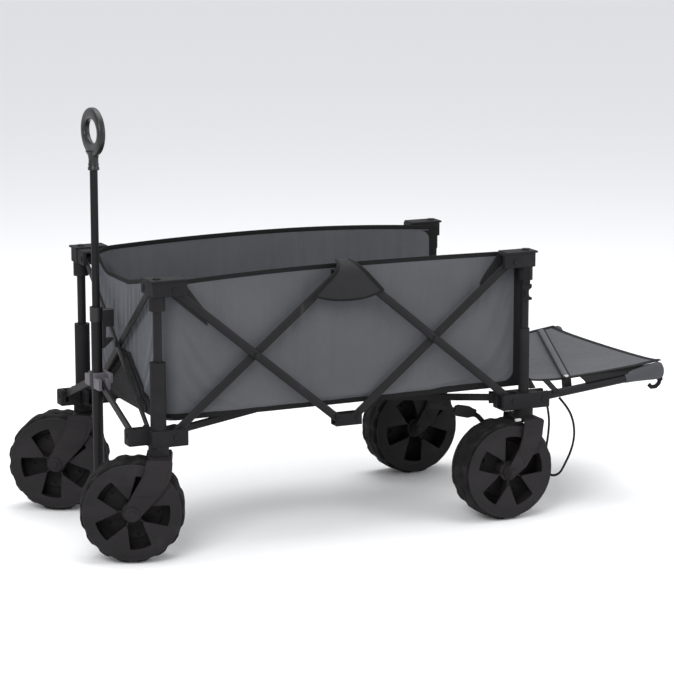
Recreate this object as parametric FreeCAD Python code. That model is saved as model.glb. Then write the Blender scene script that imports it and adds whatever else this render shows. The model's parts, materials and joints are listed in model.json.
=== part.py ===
import FreeCAD, Part
import math
import os

# Folding utility wagon with a telescoping pull handle and a drop-down tailgate.
# Frame: +X runs to the rear (tailgate), -Y is the near side, +Z is up. The origin lies on
# the ground, midway between the four corner posts. All lengths are millimetres.

# ---- driving dimensions -------------------------------------------------------------
POST_X = 461.0  # corner post axis from the middle, lengthwise
POST_Y = 245.0  # corner post axis from the middle, crosswise
LOW_Z = 280.0  # height of the lower pivots
HIGH_Z = 612.0  # height of the upper pivots
SPAN = 403.0  # sideways reach of one side bar, pivot to pivot
HUB_PIVOT = 23.0  # the two pivots of a middle hub, from its centre
HUB_HALF = 33.0  # half length of a middle hub
HUB_CAP = 4.0  # thickness of the cap that closes its slot
BAR_WIDTH = 19.0
EDGE = 2.5  # rounding of the moulded brackets' edges
PIN_R = 4.0
PIN_FIT = 0.06  # radial clearance of every pivot hole
INNER_LAYER = (236.0, 245.0)  # distance from the centre plane of the inner side bars
OUTER_LAYER = (246.0, 255.0)  # the same for the outer side bars
FRONT_LAYERS = ((-468.0, -462.0), (-460.0, -454.0))  # lengthwise, of the two front bars
POST_R = 10.0
POST_FIT = 0.1
POST_BOTTOM = 264.0
SLEEVE_TOP = 450.0
WHEEL_R = 118.0
TREAD_HALF = 36.0
LUGS = 16
FLANGE_R = 110.0  # the wheel's two side faces, with their windows
WEB_HOLE_AT = 59.0  # the small holes of the web, from the axle
WINDOW_DEG = {  # how far each wheel stands turned
    "near_front": -5.0, "near_rear": 11.0, "far_front": 45.0, "far_rear": 45.0,
}
TRAIL = 60.0  # wheel axle from the caster's swivel axis
REAR_TRAIL = 56.0  # the same behind a fixed rear fork's post
NEAR_CASTER_DEG = 22.0  # how far each front caster stands turned from straight ahead
FAR_CASTER_DEG = 32.0
AXLE_R = 6.0
CROWN_TOP = 239.0
STEM_R = 8.0
WIDE_LEG = [  # outline of a front fork leg: lengthwise from the post's axis, height
    (-26, 239), (31, 239), (29, 205), (4, 160), (-47, 105), (-78, 124), (-60, 160), (-33, 205),
]
SLIM_LEG = [  # the same for a rear fork
    (-24, 240), (28, 240), (26, 222), (23, 197), (8, 168), (-18, 129), (-46, 109.5), (-66, 126),
    (-38, 172), (-27, 206),
]
MAST_X = -514.0
MAST_R = 12.5
INNER_MAST_R = 9.0
COLLAR_R = 15.0
MAST_BOTTOM = 150.0
MAST_TOP = 530.0
HANDLE_PIVOT_Z = 362.0
LINK_LOW = (225.0, 286.0)  # lower pivot of a handle link: distance from the centre, height
LINK_HIGH_Y = 26.0
YOKE_REACH = 46.0
LINK_FREE_SHARE = 0.88  # length of the far link as a share of the near one
GRIP_TOP = 992.0
TAIL_HINGE_X = 505.0
TAIL_LENGTH = 330.0
TAIL_RISE_DEG = 5.7
TAIL_WIDE_Y = 245.0
FABRIC = 2.0  # thickness of the fabric panels
PANEL_Y = 221.0
PANEL_X = 442.0
PANEL_REAR_X = 454.0
FLOOR_Z = 312.0
FLOOR_BAR_LENGTH = 378.0
BRACE_START = 89.0  # along the tailgate tube from its hinge
BRACE_END = 265.0
BRACE_Y = 219.0
BRACE_W_ABOVE = 24.0  # underside of the braces above the tubes' centre lines
BRACE_W_BELOW = 16.5
BRACE_THICK = 3.0
TAIL_FABRIC_W = 20.7  # underside of the tailgate's fabric, between the two braces

X_AXIS = FreeCAD.Vector(1, 0, 0)
Y_AXIS = FreeCAD.Vector(0, 1, 0)
Z_AXIS = FreeCAD.Vector(0, 0, 1)
ORIGIN = FreeCAD.Vector(0, 0, 0)
LOW_X = HUB_PIVOT + SPAN  # lengthwise place of the corner pivots
FRONT_Y = SPAN / 2  # crosswise place of the front bars' pivots


# ---- shape helpers ------------------------------------------------------------------
def vec(x, y, z):
    return FreeCAD.Vector(x, y, z)


def box(x0, x1, y0, y1, z0, z1):
    return Part.makeBox(x1 - x0, y1 - y0, z1 - z0, vec(x0, y0, z0))


def soft_box(x0, x1, y0, y1, z0, z1, edge=EDGE):
    """A moulded block: a box with all its edges rounded."""
    block = box(x0, x1, y0, y1, z0, z1)
    return block.makeFillet(edge, block.Edges)


def rod(radius, start, end):
    """A round bar between two points."""
    along = end - start
    return Part.makeCylinder(radius, along.Length, start, along)


def tube(outer, inner, start, end):
    return rod(outer, start, end).cut(rod(inner, start, end))


def fused(shapes):
    whole = shapes[0]
    for other in shapes[1:]:
        whole = whole.fuse(other)
    return whole.removeSplitter()


def across(shape):
    """The same piece on the other side of the centre plane."""
    return shape.mirror(ORIGIN, Y_AXIS)


def behind(shape):
    """The same piece at the other end of the wagon."""
    return shape.mirror(ORIGIN, X_AXIS)


def flat_bar(start, end, normal, depth, holes, width=BAR_WIDTH):
    """A flat bar with round ends from start to end, depth thick along normal, with pivot holes."""
    side = normal.cross(FreeCAD.Vector(end - start).normalize())
    half = FreeCAD.Vector(side) * (width / 2)
    corners = [start + half, end + half, end - half, start - half, start + half]
    body = Part.Face(Part.makePolygon(corners)).extrude(normal * depth)
    ends = [Part.makeCylinder(width / 2, depth, p, normal) for p in (start, end)]
    bar = fused([body] + ends)
    for hole in holes:
        bar = bar.cut(Part.makeCylinder(PIN_R + PIN_FIT, depth, hole, normal))
    return bar


def rivet(start, end, head=6.5, head_depth=2.0):
    """A pivot pin with a low round head past its end."""
    along = FreeCAD.Vector(end - start).normalize()
    return rod(PIN_R, start, end).fuse(rod(head, end, end + along * head_depth))


# ---- corner brackets and posts (built at the near front corner) -----------------------
def upper_corner(has_front_lobe):
    """Plastic corner cap on top of a post: the side bar and the front bar end in its slots."""
    parts = [
        soft_box(-478, -396, -266, -226, 598, 633),
        soft_box(-482, -400, -269, -224, 631, 636, 1.5),
        rod(18, vec(-POST_X, -POST_Y, 566), vec(-POST_X, -POST_Y, 600)),
    ]
    if has_front_lobe:
        parts.append(soft_box(-476, -446, -232, -186, 598, 632))
    body = fused(parts).cut(box(-440, -390, -255.5, -235.5, 590, 627))
    body = body.cut(rod(POST_R, vec(-POST_X, -POST_Y, 560), vec(-POST_X, -POST_Y, 620)))
    body = body.fuse(rivet(vec(-LOW_X, -234, HIGH_Z), vec(-LOW_X, -266, HIGH_Z)))
    if has_front_lobe:
        body = body.cut(box(-468.4, -453.6, -213, -180, 590, 627))
        body = body.fuse(rivet(vec(-452, -FRONT_Y, HIGH_Z), vec(-476, -FRONT_Y, HIGH_Z)))
    return body.removeSplitter()


def post_tube():
    """The sliding upper tube of a corner post."""
    bottom = vec(-POST_X, -POST_Y, POST_BOTTOM)
    return tube(POST_R, POST_R - 1.5, bottom, vec(-POST_X, -POST_Y, 620))


def at_floor_pivot(shape):
    """From a piece built at the origin along +X to the near front floor bar's pivot, facing the middle."""
    shape.rotate(ORIGIN, Z_AXIS, math.degrees(math.atan2(FRONT_Y, SPAN)))
    shape.translate(vec(-SPAN, -FRONT_Y, LOW_Z))
    return shape


def floor_lug():
    """The fork on a lower corner that a floor bar is pinned in: its block, its gap and its pin."""
    block = at_floor_pivot(box(-46, 10, -13, 13, -12, 12))
    gap = at_floor_pivot(box(-12, 18, -7.5, 7.5, -20, 20))
    pin = at_floor_pivot(rod(PIN_R, vec(0, -10, 0), vec(0, 10, 0)))
    return block, gap, pin


def lower_corner(front):
    """Plastic lower corner: post socket, side bar slot, floor bar fork, and handle ear or tail hinge."""
    axis_low = vec(-POST_X, -POST_Y, 240)
    block, gap, pin = floor_lug()
    parts = [soft_box(-484, -397, -266, -212, 259, 297), block]
    if front:
        parts.append(soft_box(-476, -446, -226, -186, 262, 297))
        parts.append(soft_box(-530, -478, -241, -208, 262, 300, 5))
        parts.append(rod(18, vec(-POST_X, -POST_Y, 290), vec(-POST_X, -POST_Y, SLEEVE_TOP)))
    else:
        parts.append(soft_box(-521, -478, -266, -224, 259, 297))
        parts.append(rod(12.5, vec(-POST_X, -POST_Y, 290), vec(-POST_X, -POST_Y, SLEEVE_TOP)))
    parts.append(rod(23, axis_low, vec(-POST_X, -POST_Y, 262)))
    body = fused(parts).cut(gap)
    body = body.cut(box(-440, -390, -255.5, -235.5, 264, 300))
    bore = rod(POST_R + POST_FIT, vec(-POST_X, -POST_Y, 262.5), vec(-POST_X, -POST_Y, 460))
    body = body.cut(bore)
    body = body.fuse(rivet(vec(-LOW_X, -234, LOW_Z), vec(-LOW_X, -266, LOW_Z))).fuse(pin)
    if front:
        body = body.cut(box(-468.4, -453.6, -213, -180, 266, 300))
        body = body.fuse(rivet(vec(-452, -FRONT_Y, LOW_Z), vec(-476, -FRONT_Y, LOW_Z)))
        body = body.cut(box(-517.5, -510.5, -235, -200, 272, 305))
        link_y, link_z = LINK_LOW
        body = body.fuse(rivet(vec(-508, -link_y, link_z), vec(-530, -link_y, link_z)))
        body = body.cut(rod(STEM_R + POST_FIT, axis_low, vec(-POST_X, -POST_Y, 258)))
    else:
        body = body.cut(box(-530, -493, -256, -234, 267, 305))
        body = body.fuse(rivet(vec(-TAIL_HINGE_X, -230, LOW_Z), vec(-TAIL_HINGE_X, -266, LOW_Z)))
    return body.removeSplitter()


# ---- side bars and middle hubs (near side) ---------------------------------------------
def side_bar(x_low, x_high, layer, carries_pin):
    """One bar of a side scissor, from its low pivot to its high pivot."""
    inner, outer = layer
    low = vec(x_low, -outer, LOW_Z)
    high = vec(x_high, -outer, HIGH_Z)
    middle = (low + high) * 0.5
    holes = [low, high] if carries_pin else [low, high, middle]
    bar = flat_bar(low, high, Y_AXIS, outer - inner, holes)
    if carries_pin:
        pin = rivet(vec(middle.x, -inner - 1, middle.z), vec(middle.x, -OUTER_LAYER[1] - 0.3, middle.z))
        bar = bar.fuse(pin)
    return bar


def middle_hub(pivot_z, cap_z, open_z):
    """Plastic hub that joins two scissors of one side: a cap, two cheeks and two pins."""
    low, high = sorted((cap_z, open_z))
    body = soft_box(-HUB_HALF, HUB_HALF, -261, -230, low, high)
    slot_low, slot_high = (low - 5, cap_z - HUB_CAP) if cap_z > open_z else (cap_z + HUB_CAP, high + 5)
    body = body.cut(box(-50, 50, -255.5, -235.5, slot_low, slot_high))
    for x in (-HUB_PIVOT, HUB_PIVOT):
        body = body.fuse(rivet(vec(x, -232, pivot_z), vec(x, -261, pivot_z)))
    return body.removeSplitter()


# ---- front bars ------------------------------------------------------------------------
def front_bar(low_y, layer, carries_pin):
    """One of the two crossed bars between the front posts."""
    x0, x1 = layer
    low = vec(x0, low_y, LOW_Z)
    high = vec(x0, -low_y, HIGH_Z)
    middle = (low + high) * 0.5
    holes = [low, high] if carries_pin else [low, high, middle]
    bar = flat_bar(low, high, X_AXIS, x1 - x0, holes)
    if carries_pin:
        bar = bar.fuse(rivet(vec(x0 + 1, 0, middle.z), vec(FRONT_LAYERS[0][0] - 0.3, 0, middle.z)))
    return bar


# ---- floor bars --------------------------------------------------------------------------
def floor_bar():
    """A near front floor bar, from its corner pin towards the middle of the floor."""
    bar = flat_bar(vec(0, -7, 0), vec(FLOOR_BAR_LENGTH, -7, 0), Y_AXIS, 14, [vec(0, -7, 0)], width=14)
    return at_floor_pivot(bar)


# ---- casters and wheels (built straight, then turned about the post) ----------------------
def fork(swivels):
    """Fork with its crown over the tyre and two tapering legs; the front ones carry a swivel stem."""
    x, y = -POST_X, -POST_Y
    leg, eye, trail = (WIDE_LEG, 19, TRAIL) if swivels else (SLIM_LEG, 13, REAR_TRAIL)
    outline = [(x + u, z) for u, z in leg + leg[:1]]
    parts = [soft_box(x - 18, x + leg[1][0], y - 54, y + 54, CROWN_TOP - 8, leg[0][1], 1.5)]
    for y0 in (y - 54, y + 49):
        parts.append(Part.Face(Part.makePolygon([vec(u, y0, z) for u, z in outline])).extrude(Y_AXIS * 5))
        parts.append(Part.makeCylinder(eye, 5, vec(x - trail, y0, WHEEL_R), Y_AXIS))
    body = fused(parts)
    if swivels:
        body = body.fuse(rod(STEM_R, vec(x, y, CROWN_TOP - 2), vec(x, y, 257)))
    body = body.cut(rod(AXLE_R, vec(x - trail, y - 60, WHEEL_R), vec(x - trail, y + 60, WHEEL_R)))
    return body.removeSplitter()


def axle_bolt(trail):
    """Axle bolt through both fork legs, with a hexagon head and a nut."""
    x, y = -POST_X - trail, -POST_Y
    shaft = rod(AXLE_R, vec(x, y - 54, WHEEL_R), vec(x, y + 54, WHEEL_R))
    parts = [shaft]
    for y0 in (y - 59, y + 54):
        corners = [
            vec(x + 10 * math.cos(math.radians(60 * k)), y0, WHEEL_R + 10 * math.sin(math.radians(60 * k)))
            for k in range(7)
        ]
        parts.append(Part.Face(Part.makePolygon(corners)).extrude(Y_AXIS * 5))
    return fused(parts)


def tyre():
    """Wide soft tyre between the wheel's two flanges, with notches between the lugs of both shoulders."""
    half = TREAD_HALF
    profile = [
        (92, -half), (113, -half), (WHEEL_R, -half + 7), (WHEEL_R, half - 7),
        (113, half), (92, half), (92, -half),
    ]
    face = Part.Face(Part.makePolygon([vec(r, 0, v) for r, v in profile]))
    body = face.revolve(ORIGIN, Z_AXIS, 360)
    cutters = []
    for k in range(LUGS):
        for v in (half - 14, -half - 6):
            notch = box(WHEEL_R - 4, WHEEL_R + 6, -7, 7, v, v + 20)
            notch.rotate(ORIGIN, Z_AXIS, 360.0 / LUGS * k)
            cutters.append(notch)
    return place_wheel_part(body.cut(cutters))


def wheel_disc(turn):
    """Moulded wheel: rim barrel, a web with five small holes, a flange with five windows on each side, and
    the hub tube. The windows stand turned by some degrees."""
    barrel = tube(91.9, 87, vec(0, 0, -41), vec(0, 0, 41))
    hub = rod(18, vec(0, 0, -48), vec(0, 0, 48))
    web = rod(89, vec(0, 0, -3), vec(0, 0, 3))
    profile = [(33, 39), (107, 39), (FLANGE_R, 41), (FLANGE_R, 43), (107, 45), (33, 45), (33, 39)]
    flange = Part.Face(Part.makePolygon([vec(r, 0, v) for r, v in profile])).revolve(ORIGIN, Z_AXIS, 360)
    outline = [(24, -17), (81, -24), (81, 24), (24, 17), (24, -17)]
    trapezoid = Part.Face(Part.makePolygon([vec(r, v, 30) for r, v in outline])).extrude(Z_AXIS * 20)
    windows = []
    holes = [rod(AXLE_R + 0.1, vec(0, 0, -50), vec(0, 0, 50))]
    for k in range(5):
        window = trapezoid.copy()
        window.rotate(ORIGIN, Z_AXIS, 72 * k)
        windows.append(window)
        hole = rod(4.5, vec(WEB_HOLE_AT, 0, -10), vec(WEB_HOLE_AT, 0, 10))
        hole.rotate(ORIGIN, Z_AXIS, 72 * k)
        holes.append(hole)
    flange = flange.cut(windows)
    body = fused([barrel, hub, web, flange, flange.mirror(ORIGIN, Z_AXIS)]).cut(holes)
    body.rotate(ORIGIN, Z_AXIS, turn)
    return place_wheel_part(body)


def place_wheel_part(shape):
    """From a wheel lying flat about the origin to the near front wheel, standing straight."""
    shape.rotate(ORIGIN, X_AXIS, 90)
    shape.translate(vec(-POST_X - TRAIL, -POST_Y, WHEEL_R))
    return shape


def turned(shape, degrees, y_side):
    """A front caster piece turned about its post's axis."""
    copy = shape.copy()
    copy.rotate(vec(-POST_X, y_side * POST_Y, 0), Z_AXIS, degrees)
    return copy


# ---- pull handle ---------------------------------------------------------------------------
def handle_outer_tube():
    tube_body = tube(MAST_R, INNER_MAST_R + 2.5, vec(MAST_X, 0, MAST_BOTTOM), vec(MAST_X, 0, MAST_TOP))
    pivot_hole = rod(PIN_R, vec(MAST_X, -20, HANDLE_PIVOT_Z), vec(MAST_X, 20, HANDLE_PIVOT_Z))
    return tube_body.cut(pivot_hole)


def handle_collar():
    """Clamp collar on top of the outer tube that guides the inner tube."""
    outer = rod(COLLAR_R, vec(MAST_X, 0, 504), vec(MAST_X, 0, 537))
    step = rod(MAST_R, vec(MAST_X, 0, 500), vec(MAST_X, 0, MAST_TOP))
    inner = rod(INNER_MAST_R + POST_FIT, vec(MAST_X, 0, 500), vec(MAST_X, 0, 540))
    return outer.cut(step).cut(inner)


def handle_inner_tube():
    return tube(INNER_MAST_R, INNER_MAST_R - 1.5, vec(MAST_X, 0, 470), vec(MAST_X, 0, 868))


def handle_grip():
    """Closed oval grip with a round neck that sleeves over the inner tube."""
    centre_z = GRIP_TOP - 56
    outer = oval_plate(52, 56, centre_z, 13)
    hole = oval_plate(31, 33, centre_z + 2, 30)
    ring = outer.cut(hole)
    edges = [e for e in ring.Edges if e.Length > 30]
    ring = ring.makeFillet(6, edges)
    neck = rod(12, vec(MAST_X, 0, 850), vec(MAST_X, 0, centre_z - 45))
    ribs = [rod(13.2, vec(MAST_X, 0, z), vec(MAST_X, 0, z + 3)) for z in (854, 861, 868)]
    body = fused([ring, neck] + ribs)
    return body.cut(rod(INNER_MAST_R, vec(MAST_X, 0, 840), vec(MAST_X, 0, 868)))


def oval_plate(half_y, half_z, centre_z, half_x):
    """A plate of elliptical outline across the wagon, half_x thick each way."""
    major, minor = max(half_y, half_z), min(half_y, half_z)
    ellipse = Part.Ellipse(ORIGIN, major, minor)
    face = Part.Face(Part.Wire([ellipse.toShape()]))
    plate = face.extrude(Z_AXIS * (2 * half_x))
    plate.rotate(ORIGIN, Y_AXIS, -90)
    if half_z < half_y:
        plate.rotate(ORIGIN, X_AXIS, 90)
    plate.translate(vec(MAST_X + half_x, 0, centre_z))
    return plate


def keeper_clip():
    """Hook behind the outer tube that holds the handle to the front of the basket."""
    body = soft_box(MAST_X + MAST_R - 2, -474, -9, 9, 440, 530, 2)
    for radius, low, high in ((MAST_R, 430, 504), (COLLAR_R, 504, 540)):
        body = body.cut(rod(radius, vec(MAST_X, 0, low), vec(MAST_X, 0, high)))
    body = body.cut(box(-494, -470, -10, 10, 462, 490))
    wedge = Part.Face(
        Part.makePolygon([vec(-474, -9, 440), vec(-500, -9, 440), vec(-474, -9, 462), vec(-474, -9, 440)])
    ).extrude(Y_AXIS * 18)
    return body.cut(wedge)


def handle_yoke():
    """The T-shaped hub that joins the two links; the outer tube pivots between its cheeks."""
    reach = YOKE_REACH
    parts = [soft_box(-501, -491, -reach, reach, 366, 388, 3)]
    for sign in (-1, 1):
        parts.append(box(-528, -494, min(sign * 13.2, sign * 17), max(sign * 13.2, sign * 17), 350, 386))
        for x0, x1 in ((-528, -518.5), (-509.5, -498)):
            y0, y1 = sorted((sign * 14, sign * reach))
            parts.append(soft_box(x0, x1, y0, y1, 350, 376, 2))
    body = fused(parts)
    body = body.fuse(
        rod(PIN_R, vec(-526, -LINK_HIGH_Y, HANDLE_PIVOT_Z), vec(-502, -LINK_HIGH_Y, HANDLE_PIVOT_Z))
    )
    for sign in (-1, 1):
        stub = (vec(MAST_X, sign * 16, HANDLE_PIVOT_Z), vec(MAST_X, sign * (MAST_R - 0.8), HANDLE_PIVOT_Z))
        body = body.fuse(rod(PIN_R - PIN_FIT, *stub))
    return body.removeSplitter()


def handle_link(pinned):
    """Flat link from the near ear up to the yoke. The other link ends free between the yoke's cheeks."""
    low = vec(-517, -LINK_LOW[0], LINK_LOW[1])
    high = vec(-517, -LINK_HIGH_Y, HANDLE_PIVOT_Z)
    if pinned:
        return flat_bar(low, high, X_AXIS, 6, [low, high], width=17)
    short = low + (high - low) * LINK_FREE_SHARE
    return flat_bar(low, short, X_AXIS, 6, [low], width=17)


# ---- tailgate --------------------------------------------------------------------------------
def tilted(shape):
    """A tailgate piece built level, raised to the tailgate's rest slope."""
    shape.rotate(vec(TAIL_HINGE_X, 0, LOW_Z), Y_AXIS, -TAIL_RISE_DEG)
    return shape


def tail_tube(brace_below):
    """Near side tube of the tailgate with its hinge eye and the post of the brace."""
    x, y, z = TAIL_HINGE_X, -TAIL_WIDE_Y, LOW_Z
    body = fused([
        Part.makeCylinder(10, 18, vec(x, y - 9, z), Y_AXIS),
        box(x, x + 22, y - 9, y + 9, z - 8, z + 8),
        rod(10, vec(x + 20, y, z), vec(x + TAIL_LENGTH, y, z)),
    ])
    body = body.cut(rod(PIN_R + PIN_FIT, vec(x, y - 12, z), vec(x, y + 12, z)))
    w = z + (BRACE_W_BELOW if brace_below else BRACE_W_ABOVE)
    start = x + BRACE_START
    foot = box(start - 9, start + 9, y, -BRACE_Y + 8, z - 4, z + 5)
    post = box(start - 9, start + 9, -BRACE_Y - 8, -BRACE_Y + 8, z - 4, w - 0.5)
    pin = rod(PIN_R, vec(start, -BRACE_Y, z), vec(start, -BRACE_Y, w + BRACE_THICK + 1))
    return tilted(fused([body, foot, post, pin]))


def tail_brace(below):
    """Flat brace across the tailgate, pinned on the near tube, resting on the far one."""
    w = LOW_Z + (BRACE_W_BELOW if below else BRACE_W_ABOVE)
    near = vec(TAIL_HINGE_X + BRACE_START, -BRACE_Y, w)
    far = vec(TAIL_HINGE_X + BRACE_END, BRACE_Y, w)
    return tilted(flat_bar(near, far, Z_AXIS, BRACE_THICK, [near], width=16))


def tail_panel():
    """Fabric of the tailgate, lying over the tubes."""
    x = TAIL_HINGE_X
    outline = [(-3, -206), (100, -206), (336, -243), (320, 243), (100, 206), (-3, 206)]
    points = [vec(x + u, y, LOW_Z + TAIL_FABRIC_W) for u, y in outline + outline[:1]]
    level = Part.Face(Part.makePolygon(points))
    return tilted(level.extrude(Z_AXIS * FABRIC))


# ---- fabric liner ------------------------------------------------------------------------------
def side_panel():
    """Near side wall of the liner, its top edge a shallow arch."""
    y = -PANEL_Y - FABRIC / 2
    top = Part.Arc(vec(PANEL_REAR_X, y, 632), vec(0, y, 642), vec(-PANEL_X, y, 628)).toShape()
    low = FLOOR_Z + 4
    rest = Part.makePolygon([
        vec(-PANEL_X, y, 628), vec(-PANEL_X, y, low), vec(PANEL_REAR_X, y, low), vec(PANEL_REAR_X, y, 632),
    ])
    return Part.Face(Part.Wire([top] + rest.Edges)).extrude(Y_AXIS * FABRIC)


def front_panel():
    return box(-PANEL_X - FABRIC, -PANEL_X, -PANEL_Y + 2, PANEL_Y - 2, FLOOR_Z + 4, 622)


def floor_panel():
    return box(-PANEL_X, PANEL_X + 10, -PANEL_Y + 2, PANEL_Y - 2, FLOOR_Z - 3, FLOOR_Z)


# ---- hanging pull loop on the tailgate ---------------------------------------------------------
LOOP_Y = -236.0
LOOP_R = 3.0
LOOP_ROUTE = [  # (lengthwise, height), chosen by hand
    (563, 271), (588, 244), (604, 208), (607, 170), (597, 134), (578.6, 101.5), (567.9, 84.7),
    (548.5, 80.4), (531.7, 91), (527.4, 110.5), (529, 148), (536, 190), (537, 230), (529, 262),
]


def pull_loop():
    """Thin webbing loop as a round tube of straight runs joined by tangent arcs."""
    points = [vec(x, LOOP_Y, z) for x, z in LOOP_ROUTE]
    edges = []
    radii = []
    place = points[0]
    for before, corner, after in zip(points, points[1:], points[2:]):
        back = before - corner
        on = after - corner
        turn = math.pi - back.getAngle(on)
        reach = 0.45 * min(back.Length, on.Length)
        radius = reach / math.tan(turn / 2)
        radii.append(round(radius))
        start = corner + FreeCAD.Vector(back).normalize() * reach
        end = corner + FreeCAD.Vector(on).normalize() * reach
        inward = (FreeCAD.Vector(back).normalize() + FreeCAD.Vector(on).normalize()).normalize()
        centre = corner + inward * math.hypot(radius, reach)
        middle = centre - inward * radius
        edges.append(Part.LineSegment(place, start).toShape())
        edges.append(Part.Arc(start, middle, end).toShape())
        place = end
    edges.append(Part.LineSegment(place, points[-1]).toShape())
    path = Part.Wire(edges)
    section = Part.Wire([Part.Circle(points[0], points[1] - points[0], LOOP_R).toShape()])
    body = path.makePipeShell([section], True, False)
    wanted = math.pi * LOOP_R**2 * path.Length
    print("loop length", round(path.Length, 1), "radii", radii, "volume share", round(body.Volume / wanted, 4))
    return body


# ---- the wagon -----------------------------------------------------------------------------------
def wagon():
    nodes = {}
    front_low, rear_low = lower_corner(True), behind(lower_corner(False))
    front_high, rear_high = upper_corner(True), behind(upper_corner(False))
    posts = {"front": post_tube(), "rear": behind(post_tube())}
    lows = {"front": front_low, "rear": rear_low}
    highs = {"front": front_high, "rear": rear_high}
    forks = {
        "front": Part.makeCompound([fork(True), axle_bolt(TRAIL)]),
        "rear": Part.makeCompound([fork(False), axle_bolt(REAR_TRAIL)]),
    }
    tyre_shape = tyre()
    bars = {
        "side_bar_1": side_bar(-HUB_PIVOT, -LOW_X, OUTER_LAYER, False),
        "side_bar_2": side_bar(-LOW_X, -HUB_PIVOT, INNER_LAYER, True),
        "side_bar_3": side_bar(LOW_X, HUB_PIVOT, OUTER_LAYER, False),
        "side_bar_4": side_bar(HUB_PIVOT, LOW_X, INNER_LAYER, True),
    }
    hubs = {
        "top_hub": middle_hub(HIGH_Z, 626, 598),
        "bottom_hub": middle_hub(LOW_Z, 264, 292),
    }
    for side, sign in (("near", -1), ("far", 1)):
        flip = across if sign > 0 else (lambda shape: shape.copy())
        for end in ("front", "rear"):
            corner = f"{side}_{end}"
            nodes[f"lower_corner_{corner}"] = flip(lows[end])
            nodes[f"upper_corner_{corner}"] = flip(highs[end])
            nodes[f"post_tube_{corner}"] = flip(posts[end])
            disc_shape = wheel_disc(WINDOW_DEG[corner])
            for name, shape in (("fork", forks[end]), ("tyre", tyre_shape), ("wheel", disc_shape)):
                placed = flip(shape)
                if end == "rear":
                    shift = 0 if name == "fork" else TRAIL - REAR_TRAIL
                    placed.translate(vec(2 * POST_X + shift, 0, 0))
                else:
                    placed = turned(placed, -NEAR_CASTER_DEG if sign < 0 else -FAR_CASTER_DEG, sign)
                nodes[f"{name}_{corner}"] = placed
        for name, shape in list(bars.items()) + list(hubs.items()):
            nodes[f"{name}_{side}"] = flip(shape)
        for end in ("front", "rear"):
            bar = floor_bar() if end == "front" else behind(floor_bar())
            nodes[f"floor_bar_{side}_{end}"] = flip(bar)
        nodes[f"handle_link_{side}"] = flip(handle_link(sign < 0))
        nodes[f"side_panel_{side}"] = flip(side_panel())
        nodes[f"tail_tube_{side}"] = flip(tail_tube(sign > 0))
        nodes[f"tail_brace_{side}"] = flip(tail_brace(sign > 0))
    nodes["front_bar_1"] = front_bar(-FRONT_Y, FRONT_LAYERS[0], False)
    nodes["front_bar_2"] = front_bar(FRONT_Y, FRONT_LAYERS[1], True)
    nodes["handle_outer_tube"] = handle_outer_tube()
    nodes["handle_inner_tube"] = handle_inner_tube()
    nodes["handle_collar"] = handle_collar()
    nodes["handle_grip"] = handle_grip()
    nodes["handle_yoke"] = handle_yoke()
    nodes["keeper_clip"] = keeper_clip()
    nodes["front_panel"] = front_panel()
    nodes["floor_panel"] = floor_panel()
    nodes["tail_panel"] = tail_panel()
    nodes["pull_loop"] = pull_loop()
    return nodes


def main():
    os.makedirs("parts", exist_ok=True)
    nodes = wagon()
    for name, shape in nodes.items():
        if not shape.isValid():
            print("not valid:", name)
        if len(shape.Solids) != (2 if name.startswith("fork") else 1):
            print("solids:", name, len(shape.Solids))
        shape.exportStep(f"parts/{name}.step")
    print(len(nodes), "nodes")


main()
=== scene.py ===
import bmesh
import bpy
import json
import math
from mathutils import Matrix, Vector, noise


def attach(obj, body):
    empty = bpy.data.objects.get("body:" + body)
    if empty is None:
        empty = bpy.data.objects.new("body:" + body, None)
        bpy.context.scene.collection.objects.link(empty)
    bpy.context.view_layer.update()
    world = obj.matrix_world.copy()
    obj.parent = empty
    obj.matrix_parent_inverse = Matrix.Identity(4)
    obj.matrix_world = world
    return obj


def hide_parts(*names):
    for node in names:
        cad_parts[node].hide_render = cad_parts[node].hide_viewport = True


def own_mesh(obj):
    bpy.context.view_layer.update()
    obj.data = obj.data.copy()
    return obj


# Folding utility wagon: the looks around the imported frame. Metres, +X to the rear, -Y is the near side.

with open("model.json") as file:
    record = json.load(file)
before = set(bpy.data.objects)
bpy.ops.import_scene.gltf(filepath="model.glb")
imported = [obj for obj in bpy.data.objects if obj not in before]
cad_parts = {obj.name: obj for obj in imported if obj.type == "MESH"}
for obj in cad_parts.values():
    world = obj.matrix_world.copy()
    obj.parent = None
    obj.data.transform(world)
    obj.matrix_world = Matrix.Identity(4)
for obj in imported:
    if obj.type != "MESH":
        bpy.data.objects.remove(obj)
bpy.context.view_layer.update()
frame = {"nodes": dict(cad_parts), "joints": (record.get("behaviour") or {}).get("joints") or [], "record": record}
NODES = frame["nodes"]
JOINTS = {joint["name"]: joint for joint in frame["joints"]}
SIDES = (("near", -1), ("far", 1))
ENDS = (("front", -1), ("rear", 1))
MM = 0.001
POST_X, POST_Y = 0.461, 0.245  # the corner posts, from the middle
LOW_Z, HIGH_Z = 0.280, 0.612  # heights of the lower and upper pivots
UP = Vector((0, 0, 1))
SIDEWAYS = Matrix(((1, 0, 0), (0, 0, -1), (0, 1, 0))).to_4x4()  # stands a plate up along the wagon's side


def joint_place(name):
    return Vector(JOINTS[name]["pos_m"])


def linked(name, data):
    """A new object of the data, in the scene."""
    made = bpy.data.objects.new(name, data)
    bpy.context.scene.collection.objects.link(made)
    return made


def in_mm(pairs):
    """Pairs given in mm, as metres."""
    return [(a * MM, b * MM) for a, b in pairs]


# ---- camera, floor and light -----------------------------
CAMERA_AZIMUTH = -24.97
CAMERA_ELEVATION = 11.44
CAMERA_DISTANCE = 6.604
CAMERA_TARGET = Vector((0.0904, 0, 0.4149))
CAMERA_LENS = 148.7


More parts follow.
